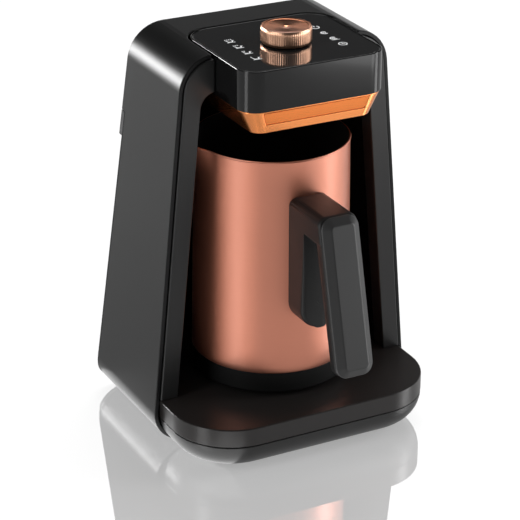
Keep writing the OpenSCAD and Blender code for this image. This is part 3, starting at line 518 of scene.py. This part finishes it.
@dataclass(frozen=True)
class Moulding:
    """A copy of a CAD node with its sharp outer edges rounded."""

    node: str
    finish: Finish
    body: Body
    edge_mm: float
    segments: int = 2
    clear_r: float = 0.0
    clear_x: float = 0.0
    sharp_angle: float = 34.0
    flat_angle: float = 0.6
    gap: float = 4e-6

    def rounded(self, edge: bmesh.types.BMEdge) -> bool:
        """Tells whether an edge is rounded.

        Edges within clear_r of the pot's axis, or within clear_x of the middle plane, stay sharp.

        Args:
            edge: The edge.

        Returns:
            Whether it is a sharp outer edge, clear of both.
        """
        near = min(math.hypot(vert.co.x, vert.co.y - POT_Y) for vert in edge.verts)
        out = max(abs(vert.co.x) for vert in edge.verts)
        turned = edge.is_convex and edge.calc_face_angle(0.0) > math.radians(self.sharp_angle)
        return turned and near >= self.clear_r * MM and out >= self.clear_x * MM

    def build(self) -> None:
        """Copies the node, merges its mesh, rounds its edges and settles it."""
        work = bmesh.new()
        work.from_mesh(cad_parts[self.node].data)
        bmesh.ops.remove_doubles(work, verts=work.verts, dist=self.gap)
        bmesh.ops.dissolve_limit(work, angle_limit=math.radians(self.flat_angle), verts=work.verts,
                                 edges=work.edges)
        weight = work.edges.layers.float.new("bevel_weight_edge")
        for edge in work.edges:
            edge[weight] = float(self.rounded(edge))
        mesh = bpy.data.meshes.new(f"{self.node}_skin")
        work.to_mesh(mesh)
        work.free()
        made = object_from(f"{self.node}_skin", mesh)
        smooth(mesh, self.sharp_angle)
        if self.edge_mm:
            bevel = made.modifiers.new("round", "BEVEL")
            bevel.width = self.edge_mm * MM
            bevel.segments = self.segments
            bevel.limit_method = "WEIGHT"
            bevel.use_clamp_overlap = False
            bevel.miter_outer = "MITER_ARC"
            made.modifiers.new("weigh", "WEIGHTED_NORMAL").keep_sharp = True
            bake(made)
        settle(made, self.finish, self.body, self.node)


def circle(r: float, z: float, centre_y: float, sides: int) -> list[Point]:
    """Gives a level ring of points round an upright axis at x = 0.

    Args:
        r: Radius in mm.
        z: Height in mm.
        centre_y: The axis's place from front to back, in metres.
        sides: Points round the ring.

    Returns:
        The points, in metres.
    """
    turns = [2 * math.pi * i / sides for i in range(sides)]
    return [(r * math.cos(a) * MM, r * math.sin(a) * MM + centre_y, z * MM) for a in turns]


# ---------------------------------------------------------------------------
# Sub-assemblies
# ---------------------------------------------------------------------------


@dataclass
class Casing:
    """The wrap casing with its bezel, liner, rear cover and base."""

    mouldings: tuple[Moulding, ...] = (
        Moulding("outer_casing", CASING, Body.MACHINE, edge_mm=0.5),
        Moulding("front_bezel", BEZEL, Body.MACHINE, edge_mm=0.5),
        Moulding("alcove_liner", LINER, Body.MACHINE, edge_mm=0.0),
        Moulding("rear_cover", REAR, Body.MACHINE, edge_mm=0.3),
        Moulding("base_tray", TRAY, Body.MACHINE, edge_mm=0.6),
        Moulding("base_pan", PAN, Body.MACHINE, edge_mm=0.4),
        Moulding("rubber_feet", RUBBER, Body.MACHINE, edge_mm=0.3),
        Moulding("cord_gland", RUBBER, Body.MACHINE, edge_mm=0.3),
        Moulding("hot_plate", PLATE, Body.MACHINE, edge_mm=0.2),
    )

    def build(self) -> None:
        """Rounds and dresses the casing's mouldings."""
        for moulding in self.mouldings:
            moulding.build()
        dress(RUBBER, "plate_seal")


@dataclass
class Inside:
    """Hidden heating and electric parts."""

    steel: tuple[str, ...] = (
        "plate_clamp_ring", "heat_shield", "temperature_sensor", "heating_element", "encoder_body",
        "base_screws", "rear_cover_screws", "clamp_screws", "head_screws", "encoder_shaft",
        "handle_screws", "bracket_screws", "handle_bracket", "pot_base_disc",
    )
    boards: tuple[str, ...] = ("control_board", "power_board", "foam_sensor_board")
    white: tuple[str, ...] = ("thermal_fuse", "indicator_lights", "encoder_rotor", "terminal_block")
    blue: tuple[str, ...] = ("relay", "transformer", "capacitor")
    wires: tuple[str, ...] = ("main_harness", "mains_leads")
    dark: tuple[str, ...] = ("buzzer", "knob_hub")

    def build(self) -> None:
        """Dresses the CAD nodes that stay as they are."""
        dress(STEEL, *self.steel)
        dress(BOARD, *self.boards)
        dress(WHITE, *self.white)
        dress(BLUE, *self.blue)
        dress(WIRE, *self.wires)
        dress(REAR, *self.dark)
        dress(HANDLE, "bracket_plugs")


@dataclass(frozen=True)
class Arc:
    """A curved stroke about an icon's centre: sizes in mm, angles in degrees."""

    radius: float
    stroke: float
    start: float = 0.0
    end: float = 360.0
    pieces: int = 18

    def outlines(self) -> list[Outline]:
        """Gives the stroke as a row of flat pieces.

        Returns:
            One outline for each piece.
        """
        step = (self.end - self.start) / self.pieces
        inner = self.radius - self.stroke
        made = []
        for k in range(self.pieces):
            a, b = math.radians(self.start + step * k), math.radians(self.start + step * (k + 1))
            corners = ((inner, a), (inner, b), (self.radius, b), (self.radius, a))
            made.append([(r * math.cos(t), r * math.sin(t)) for r, t in corners])
        return made


@dataclass(frozen=True)
class Glyphs:
    """Draws the generic icons as flat outlines in mm about their centres.

    A Box gives the left, front, right and rear side of a straight stroke.
    """

    stroke: float = 0.6
    cup_top: Pair = (1.9, 0.9)
    cup_foot: Pair = (1.3, -1.5)
    cup_ear: Box = (2.1, 0.2, 3.0, 0.7)
    saucer: Box = (-2.6, -2.7, 2.6, -2.2)
    steam: Box = (-2.1, 1.5, -1.5, 2.8)
    steam_pitch: float = 1.2
    power_ring: Arc = Arc(2.6, 0.65, 130.0, 410.0)
    power_bar: Box = (-0.3, 0.5, 0.3, 3.0)
    clock_ring: Arc = Arc(2.7, 0.6)
    clock_hands: tuple[Box, Box] = ((-0.3, -0.3, 1.4, 0.3), (-0.3, 0.3, 0.3, 1.7))
    bean_shell: Arc = Arc(2.3, 0.7, 40.0, 320.0)
    bean_heart: Arc = Arc(1.1, 0.5)
    bean_bar: Box = (-2.6, -3.0, 2.6, -2.6)

    def bar(self, box: Box, shift: float = 0.0) -> Outline:
        """Draws a straight stroke, moved to the right by shift."""
        left, front, right, rear = box
        return [(left + shift, front), (right + shift, front), (right + shift, rear), (left + shift, rear)]

    def cup(self, marks: int) -> list[Outline]:
        """Draws a cup on its saucer, under steam marks.

        Args:
            marks: Number of steam marks.

        Returns:
            The outlines.
        """
        half = self.stroke / 2
        (top_x, top_y), (foot_x, foot_y) = self.cup_top, self.cup_foot
        sides = [[(side * foot_x - half, foot_y), (side * foot_x + half, foot_y),
                  (side * top_x + half, top_y), (side * top_x - half, top_y)] for side in (-1, 1)]
        base = self.bar((-foot_x - half, foot_y - half, foot_x + half, foot_y + half))
        steam = [self.bar(self.steam, self.steam_pitch * k) for k in range(marks)]
        return sides + [base, self.bar(self.cup_ear), self.bar(self.saucer)] + steam

    def draw(self, sign: Sign, row: int) -> list[Outline]:
        """Draws one icon.

        Args:
            sign: What it shows.
            row: Its row, from 0 at the front, which sets a cup's steam marks.

        Returns:
            Outlines that are each one flat face, seen from above.
        """
        bean = self.bean_shell.outlines() + self.bean_heart.outlines()
        return {
            Sign.CUP: self.cup(row + 1),
            Sign.CLOCK: self.clock_ring.outlines() + [self.bar(hand) for hand in self.clock_hands],
            Sign.BEAN: bean,
            Sign.BEAN_BARRED: bean + [self.bar(self.bean_bar)],
            Sign.POWER: self.power_ring.outlines() + [self.bar(self.power_bar)],
        }[sign]


@dataclass
class Head:
    """Head housing, touch panel, icons, trim band and hood."""

    mouldings: tuple[Moulding, ...] = (
        Moulding("head_housing", HEAD, Body.MACHINE, edge_mm=0.5, segments=3),
        Moulding("touch_panel", PANEL, Body.MACHINE, edge_mm=0.15),
        Moulding("trim_band", TRIM, Body.MACHINE, edge_mm=0.45),
        Moulding("trim_plate", TRIM_IN, Body.MACHINE, edge_mm=0.1),
        Moulding("hood_floor", REAR, Body.MACHINE, edge_mm=0.15),
    )
    icon_x: float = 27.5
    icon_pitch: float = 10.7
    print_mm: float = 0.03
    left: tuple[Sign, ...] = (Sign.CUP,) * 4
    right: tuple[Sign, ...] = (Sign.CLOCK, Sign.BEAN_BARRED, Sign.BEAN, Sign.POWER)
    glyphs: Glyphs = Glyphs()

    def build(self) -> None:
        """Builds the head's visible pieces."""
        for moulding in self.mouldings:
            moulding.build()
        dress(LENS, "foam_sensor_lens")
        self.icons()

    def icons(self) -> None:
        """Prints both columns of icons on the touch panel, on either side of the knob; the print glows with
        painted light.
        """
        z = (extent("touch_panel")[1].z + self.print_mm) * MM
        points: list[Point] = []
        faces: list[tuple[int, ...]] = []
        for cx, signs in ((-self.icon_x, self.left), (self.icon_x, self.right)):
            for row, sign in enumerate(signs):
                cy = (row - (len(signs) - 1) / 2) * self.icon_pitch
                for outline in self.glyphs.draw(sign, row):
                    faces.append(tuple(range(len(points), len(points) + len(outline))))
                    points += [((cx + x) * MM, (cy + y) * MM + KNOB_Y, z) for x, y in outline]
        mesh = bpy.data.meshes.new("icons")
        mesh.from_pydata(points, [], faces)
        settle(object_from("icons", mesh), ICON, Body.MACHINE)


@dataclass
class Knob:
    """The fluted knob cap: a skirt made by a Geometry Nodes tree and a spun, dished top.

    Sizes are in mm. The skirt draws in at both ends, each over a share of its height. Each pair of
    the dish is a radius and a depth below the top, from the middle outwards, and each pair of the
    rim is an inset from its edge and a depth.
    """

    radius: float = KNOB_HIGH.x
    low: float = KNOB_LOW.z
    top: float = KNOB_HIGH.z
    flutes: int = 72
    depth: float = 0.15
    crest_power: float = 0.6
    draw_in: float = 0.63
    draw_share: float = 1 / 9
    flute_sides: int = 8
    flute_angle: float = 50.0
    rows: int = 12
    sides: int = 144
    smooth_angle: float = 40.0
    wall: float = 1.9
    top_wall: float = 1.2
    dish: tuple[Pair, ...] = ((0.0, 1.25), (0.7, 1.15), (1.5, 0.75), (1.9, 0.66), (5.0, 0.62), (9.0, 0.56))
    rim: tuple[Pair, ...] = ((1.5, 0.50), (1.1, 0.42), (0.8, 0.06), (0.4, 0.0), (0.0, 0.0), (0.0, 0.02))

    def build(self) -> None:
        """Builds the skirt and the dished top."""
        skirt = object_from("knob_skirt", bpy.data.meshes.new("knob_skirt"))
        tree = self.tree()
        run = skirt.modifiers.new("flutes", "NODES")
        run.node_group = tree
        values = {
            "Radius": self.radius * MM,
            "Low": self.low * MM,
            "Height": (self.top - self.low) * MM,
            "Depth": self.depth * MM,
            "Crest power": self.crest_power,
            "Draw in": self.draw_in * MM,
            "Draw share": self.draw_share,
            "Centre Y": KNOB_Y,
            "Flutes": self.flutes,
            "Metal": KNOB_SIDE.material(),
        }
        for item in tree.interface.items_tree:
            if item.item_type == "SOCKET" and item.in_out == "INPUT" and item.name in values:
                run[item.identifier] = values[item.name]
        bake(skirt)
        weld(skirt.data, turn=True)
        smooth(skirt.data, self.flute_angle)
        settle(skirt, KNOB_SIDE, Body.KNOB, "knob_cap")
        self.face()

    def tree(self) -> bpy.types.NodeTree:
        """Builds the tree that makes the fluted skirt as a skin of stacked rings.

        Returns:
            The geometry node group.
        """
        work = Wiring(bpy.data.node_groups.new("fluted_skirt", "GeometryNodeTree"))
        sockets = {
            "Geometry": "NodeSocketGeometry",
            "Flutes": "NodeSocketInt",
            "Metal": "NodeSocketMaterial",
        }
        for name in ("Radius", "Low", "Height", "Depth", "Crest power", "Draw in", "Draw share", "Centre Y"):
            sockets[name] = "NodeSocketFloat"
        for name, kind in sockets.items():
            work.tree.interface.new_socket(name, in_out="INPUT", socket_type=kind)
        work.tree.interface.new_socket("Geometry", in_out="OUTPUT", socket_type="NodeSocketGeometry")
        given = work.node("NodeGroupInput").outputs
        wall = work.node("GeometryNodeMeshCylinder", fill_type="NONE")
        around = work.math("MULTIPLY", given["Flutes"], self.flute_sides)
        for name, value in (("Vertices", around), ("Side Segments", self.rows), ("Radius", 1.0),
                            ("Depth", 1.0)):
            work.feed(wall.inputs[name], value)
        split = work.node("ShaderNodeSeparateXYZ")
        work.feed(split.inputs[0], work.node("GeometryNodeInputPosition").outputs[0])
        x, y, z = split.outputs
        wave = work.math("SINE", work.math("MULTIPLY", work.math("ARCTAN2", y, x), given["Flutes"]))
        crest = work.math("ADD", work.math("MULTIPLY", wave, 0.5), 0.5)
        crest = work.math("POWER", crest, given["Crest power"])
        level = work.math("ADD", z, 0.5)
        below = work.math("DIVIDE", level, given["Draw share"])
        above = work.math("DIVIDE", work.math("SUBTRACT", 1.0, level), given["Draw share"])
        full = work.math("MULTIPLY", work.math("MINIMUM", below, 1.0), work.math("MINIMUM", above, 1.0))
        cut = work.math("MULTIPLY", work.math("SUBTRACT", 1.0, crest), given["Depth"])
        drawn = work.math("MULTIPLY", work.math("SUBTRACT", 1.0, full), given["Draw in"])
        r = work.math("SUBTRACT", given["Radius"], work.math("MULTIPLY", cut, full))
        r = work.math("SUBTRACT", r, drawn)
        join = work.node("ShaderNodeCombineXYZ")
        work.feed(join.inputs["X"], work.math("MULTIPLY", x, r))
        work.feed(join.inputs["Y"], work.math("ADD", work.math("MULTIPLY", y, r), given["Centre Y"]))
        rise = work.math("MULTIPLY", level, given["Height"])
        work.feed(join.inputs["Z"], work.math("ADD", given["Low"], rise))
        move = work.node("GeometryNodeSetPosition")
        work.feed(move.inputs["Geometry"], wall.outputs["Mesh"])
        work.feed(move.inputs["Position"], join.outputs[0])
        real = work.node("GeometryNodeRealizeInstances")
        work.feed(real.inputs["Geometry"], move.outputs["Geometry"])
        paint = work.node("GeometryNodeSetMaterial")
        work.feed(paint.inputs["Geometry"], real.outputs["Geometry"])
        work.feed(paint.inputs["Material"], given["Metal"])
        work.feed(work.node("NodeGroupOutput").inputs["Geometry"], paint.outputs["Geometry"])
        return work.tree

    def face(self) -> None:
        """Builds the dished top, its rim and the inner wall, which the skirt closes."""
        outer, inner = self.radius - self.draw_in, self.radius - self.wall
        profile = [(r, self.top - depth) for r, depth in self.dish]
        profile += [(outer - inset, self.top - depth) for inset, depth in self.rim]
        profile += [(inner, self.top - self.top_wall), (inner, self.low), (outer, self.low)]
        rings = [circle(r, z, KNOB_Y, self.sides) for r, z in reversed(profile)]
        mesh = lathe("knob_face", rings, close=False)
        smooth(mesh, self.smooth_angle)
        settle(object_from("knob_face", mesh), KNOB_TOP, Body.KNOB)


@dataclass
class Pot:
    """The copper pot with its spout, ring and handle.

    Sizes are in mm. The pot steps in under its base, to a foot. Each pair of the lip is a depth
    below the rim and an inset from the outer wall, and each pair of the base's edge is an inset and
    a height. The spout's powers say how fast its reach and its lift grow towards the rim.
    """

    base_r: float = (POT_HIGH.y - POT_LOW.y) / 2
    rim_r: float = 45.4
    low: float = extent("pot_base_ring")[1].z
    rim: float = 180.0
    wall: float = 1.0
    foot_r: float = 38.0
    foot_z: float = POT_LOW.z
    foot_round: float = 0.6
    floor_round: float = 1.2
    spout_reach: float = 8.4
    spout_half: float = 13.0
    spout_drop: float = 24.0
    spout_lift: float = 3.0
    spout_powers: Pair = (1.8, 3.0)
    lip: tuple[Pair, ...] = ((0.9, -0.25), (0.5, -0.42), (0.1, -0.25), (0.0, 0.15), (0.05, 0.6))
    lip_end: float = 0.4
    base_edge: tuple[Pair, ...] = ((0.5, 0.0), (0.1, 0.3))
    low_rows: tuple[float, ...] = (0.9, 4.0)
    rows: int = 12
    spout_rows: tuple[float, ...] = (22.0, 18.0, 14.0, 10.0, 6.0, 3.0, 1.2)
    sides: int = 240
    smooth_angle: float = 40.0
    dark_from: float = 0.2
    floor_top: float = 3.0
    floor_normal: float = 0.8
    mouldings: tuple[Moulding, ...] = (
        Moulding("pot_base_ring", RING, Body.POT, edge_mm=0.4),
        Moulding("handle_shell", HANDLE, Body.POT, edge_mm=2.2, segments=4, clear_r=49.5, clear_x=5.5),
        Moulding("handle_cover", HANDLE_COVER, Body.POT, edge_mm=0.45),
    )

    def build(self) -> None:
        """Builds the pot's copper shell and softens the rest."""
        self.shell()
        for moulding in self.mouldings:
            moulding.build()

    def spout(self, turn: float, z: float) -> Pair:
        """Gives the spout's push at a place on the wall.

        Args:
            turn: Angle from the spout's middle, in radians.
            z: Height in mm.

        Returns:
            Push outwards and push upwards, in mm.
        """
        side = max(0.0, 1.0 - abs(turn) * self.rim_r / self.spout_half)
        up = max(0.0, (z - (self.rim - self.spout_drop)) / self.spout_drop)
        shape = side * side * (3.0 - 2.0 * side)
        out_power, up_power = self.spout_powers
        return self.spout_reach * shape * up ** out_power, self.spout_lift * shape * up ** up_power

    def ring(self, z: float, inset: float) -> list[Point]:
        """Gives one ring of the wall, with the spout on the left, at -X.

        Args:
            z: Height in mm.
            inset: Distance inside the outer wall in mm.

        Returns:
            The points, in metres.
        """
        slope = (self.rim_r - self.base_r) / (self.rim - self.low)
        r = self.base_r + slope * (z - self.low) - inset
        made = []
        for i in range(self.sides):
            a = 2 * math.pi * i / self.sides
            out, up = self.spout(math.remainder(a - math.pi, 2 * math.pi), z)
            made.append(((r + out) * math.cos(a) * MM, (r + out) * math.sin(a) * MM + POT_Y, (z + up) * MM))
        return made

    def shell(self) -> None:
        """Builds outer wall, rolled rim, inner wall and stepped floor as one closed skin."""
        wall, low, rim, foot_r, foot_z = self.wall, self.low, self.rim, self.foot_r, self.foot_z
        even = [low + (rim - low) * k / self.rows for k in range(1, self.rows)]
        heights = [low + row for row in self.low_rows] + [rim - row for row in self.spout_rows]
        heights = sorted(heights + [z for z in even if z < rim - self.spout_drop])
        rings = [self.ring(z, 0.0) for z in heights]
        rings += [self.ring(rim - depth, inset) for depth, inset in self.lip + ((self.lip_end, wall),)]
        rings += [self.ring(z, wall) for z in reversed(heights)]
        floor = [
            (self.base_r - wall - self.floor_round, low + wall),
            (foot_r - wall, low + wall),
            (foot_r - wall, foot_z + wall + self.foot_round),
            (foot_r - wall - self.foot_round, foot_z + wall),
            (0.0, foot_z + wall),
            (0.0, foot_z),
            (foot_r, foot_z),
            (foot_r, low),
        ]
        floor += [(self.base_r - inset, low + up) for inset, up in self.base_edge]
        rings += [circle(r, z, POT_Y, self.sides) for r, z in floor]
        mesh = lathe("pot_shell", rings, close=True)
        smooth(mesh, self.smooth_angle)
        mesh.materials.append(POT_OUT.material())
        mesh.materials.append(POT_IN.material())
        for poly in mesh.polygons:
            poly.material_index = int(self.is_inside(poly))
        settle(object_from("pot_shell", mesh), POT_OUT, Body.POT, "pot_body")

    def is_inside(self, poly: bpy.types.MeshPolygon) -> bool:
        """Tells whether a face of the shell is inside the pot.

        Args:
            poly: The face.

        Returns:
            Whether it looks at the pot's axis from below the rim, or is part of the floor.
        """
        x, y, z = poly.center
        to_axis = poly.normal.x * x + poly.normal.y * (y - POT_Y) < 0
        is_floor = poly.normal.z > self.floor_normal and z / MM < self.low + self.floor_top
        return to_axis and z / MM < self.rim - self.dark_from or is_floor


@dataclass(frozen=True)
class SoftBox:
    """A rectangular lamp: place, aim and size in metres, power in watts, spread in degrees."""

    name: str
    at: Point
    aim: Point
    size: Pair
    power: float
    spread: float = 180.0
    gloss_only: bool = False

    def build(self) -> None:
        """Adds the lamp. One that is for gloss only shows in reflections and lights nothing else."""
        data = bpy.data.lights.new(self.name, "AREA")
        data.shape = "RECTANGLE"
        data.size, data.size_y = self.size
        data.energy = self.power
        data.spread = math.radians(self.spread)
        lamp = bpy.data.objects.new(self.name, data)
        lamp.location = self.at
        lamp.visible_diffuse = lamp.visible_camera = not self.gloss_only
        lamp.rotation_euler = (Vector(self.aim) - Vector(self.at)).to_track_quat("-Z", "Y").to_euler()
        bpy.context.scene.collection.objects.link(lamp)


@dataclass
class Studio:
    """Floor, world, soft boxes and the camera."""

    camera_at: Point = (-0.54196, -1.00142 + KNOB_Y, 0.62511)
    yaw: float = -27.73
    pitch: float = 24.53
    roll: float = 0.42
    focal_px: float = 2131.4
    frame_px: float = 520.0
    sensor_mm: float = 36.0
    clip: Pair = (0.01, 50.0)
    floor_half: float = 6.0
    floor_grey: float = 0.82
    floor_mirror: float = 0.5
    floor_lift: float = 0.66
    ambient: float = 0.22
    room_level: float = 0.9
    dark_level: float = 0.03
    dark_way: Point = (-0.47, -0.88, 0.0)
    dark_from: float = 0.53
    dark_full: float = 0.60
    ceiling_from: float = 0.10
    ceiling_full: float = 0.26
    mirror_depth: float = 2.5
    lamps: tuple[SoftBox, ...] = (
        SoftBox("key_left", (-1.30, -0.30, 0.55), (0, 0, 0.12), (0.40, 1.0), 5.0),
        SoftBox("fill_right", (1.25, -0.55, 0.55), (0, 0, 0.12), (0.45, 1.0), 7.5),
        SoftBox("top", (0.35, 0.65, 1.45), (0, 0, 0.15), (0.9, 0.7), 6.0),
        SoftBox("edge_back", (-0.70, 1.05, 0.30), (-0.06, 0, 0.25), (0.45, 0.50), 0.37,
                spread=22.0, gloss_only=True),
        SoftBox("card_low", (0.05, -0.24, 0.002), (0, -0.05, 0.2), (0.25, 0.25), 0.042,
                spread=40.0, gloss_only=True),
        SoftBox("card_front", (0.45, -0.55, 0.002), (0.05, -0.06, 0.2), (0.34, 0.55), 0.24,
                spread=60.0, gloss_only=True),
        SoftBox("card_under", (-0.077, 0, 0.001), (-0.077, -0.001, 0.1), (0.046, 0.20), 0.042,
                gloss_only=True),
    )

    def build(self) -> None:
        """Builds floor, world, lights and camera, and sets the view."""
        self.floor()
        self.world()
        for lamp in self.lamps:
            lamp.build()
        self.camera()
        bpy.context.scene.view_settings.view_transform = "Standard"

    def floor(self) -> None:
        """Lays the plain pale floor, which mirrors like white acrylic."""
        half = self.floor_half
        mesh = bpy.data.meshes.new("floor")
        mesh.from_pydata([(-half, -half, 0), (half, -half, 0), (half, half, 0), (-half, half, 0)], [],
                         [(0, 1, 2, 3)])
        paint = bpy.data.materials.new("studio_floor")
        paint.use_nodes = True
        work = Wiring(paint.node_tree)
        nodes = paint.node_tree.nodes
        nodes.remove(nodes["Principled BSDF"])
        path = work.node("ShaderNodeLightPath").outputs
        seen = work.math("MAXIMUM", path["Is Camera Ray"], path["Is Glossy Ray"])
        matt = work.node("ShaderNodeBsdfDiffuse")
        work.feed(matt.inputs["Color"], (self.floor_grey, self.floor_grey, self.floor_grey, 1.0))
        lift = work.node("ShaderNodeEmission")
        work.feed(lift.inputs["Strength"], work.math("MULTIPLY", seen, self.floor_lift))
        both = work.node("ShaderNodeAddShader")
        work.feed(both.inputs[0], matt.outputs[0])
        work.feed(both.inputs[1], lift.outputs[0])
        mirror = work.node("ShaderNodeBsdfGlossy")
        work.feed(mirror.inputs["Color"], (1.0, 1.0, 1.0, 1.0))
        work.feed(mirror.inputs["Roughness"], 0.0)
        mix = work.node("ShaderNodeMixShader")
        for target, value in zip(mix.inputs, (self.floor_mirror, both.outputs[0], mirror.outputs[0])):
            work.feed(target, value)
        work.feed(nodes["Material Output"].inputs["Surface"], mix.outputs[0])
        mesh.materials.append(paint)
        object_from("floor", mesh)

    def world(self) -> None:
        """Makes a world that is white to the camera and in the floor's mirror, and lights evenly.

        Satin and gloss see a white room with a dark opening in front and a dark ceiling.
        """
        world = bpy.data.worlds.new("studio")
        bpy.context.scene.world = world
        world.use_nodes = True
        work = Wiring(world.node_tree)
        opening = self.shade(work, self.dark_way, self.dark_from, self.dark_full)
        ceiling = self.shade(work, (0.0, 0.0, 1.0), self.ceiling_from, self.ceiling_full)
        light = work.math("MULTIPLY", opening, ceiling)
        light = work.math("MULTIPLY", light, self.room_level - self.dark_level)
        room = work.math("ADD", light, self.dark_level)
        path = work.node("ShaderNodeLightPath").outputs
        gloss = work.math("MAXIMUM", path["Is Glossy Ray"], path["Is Transmission Ray"])
        early = work.math("LESS_THAN", path["Ray Depth"], self.mirror_depth)
        mirrored = work.math("MULTIPLY", path["Is Singular Ray"], early)
        white = work.math("MAXIMUM", path["Is Camera Ray"], mirrored)
        back = world.node_tree.nodes["Background"]
        work.feed(back.inputs["Color"], (1.0, 1.0, 1.0, 1.0))
        work.feed(back.inputs["Strength"], work.pick(white, work.pick(gloss, self.ambient, room), 1.0))

    def shade(self, work: Wiring, way: Point, start: float, full: float) -> Socket:
        """Darkens the world towards one way.

        Args:
            work: The world's node tree.
            way: The way that is dark.
            start: Lean towards it at which the dark begins, as a cosine.
            full: Lean at which it is full.

        Returns:
            A factor of 1 where it is light and 0 where it is dark.
        """
        lean = work.node("ShaderNodeVectorMath", operation="DOT_PRODUCT")
        work.feed(lean.inputs[0], work.node("ShaderNodeTexCoord").outputs["Generated"])
        work.feed(lean.inputs[1], way)
        made = work.node("ShaderNodeMapRange", interpolation_type="SMOOTHSTEP")
        for name, value in (("Value", lean.outputs["Value"]), ("From Min", start), ("From Max", full),
                            ("To Min", 1.0), ("To Max", 0.0)):
            work.feed(made.inputs[name], value)
        return made.outputs["Result"]

    def camera(self) -> None:
        """Sets the camera from its yaw, pitch and roll."""
        a, e = math.radians(self.yaw), math.radians(self.pitch)
        right = Vector((math.cos(a), math.sin(a), 0.0))
        back = Vector((math.sin(a) * math.cos(e), -math.cos(a) * math.cos(e), math.sin(e)))
        turn = Matrix((right, back.cross(right), back)).transposed()
        turn = turn @ Matrix.Rotation(math.radians(self.roll), 3, "Z")
        data = bpy.data.cameras.new("camera")
        data.sensor_width = self.sensor_mm
        data.lens = self.focal_px / self.frame_px * self.sensor_mm
        data.clip_start, data.clip_end = self.clip
        camera = bpy.data.objects.new("camera", data)
        camera.matrix_world = Matrix.Translation(self.camera_at) @ turn.to_4x4()
        bpy.context.scene.collection.objects.link(camera)
        bpy.context.scene.camera = camera


@dataclass
class CoffeeMaker:
    """The whole machine with its studio."""

    studio: Studio = field(default_factory=Studio)
    casing: Casing = field(default_factory=Casing)
    inside: Inside = field(default_factory=Inside)
    head: Head = field(default_factory=Head)
    knob: Knob = field(default_factory=Knob)
    pot: Pot = field(default_factory=Pot)

    def build(self) -> None:
        """Builds every sub-assembly in order."""
        for part in (self.studio, self.casing, self.inside, self.head, self.knob, self.pot):
            part.build()


def main() -> None:
    """Builds the scene."""
    logging.basicConfig(level=logging.INFO, format="%(message)s", stream=sys.stdout)
    CoffeeMaker().build()


if __name__ == "__main__":
    main()
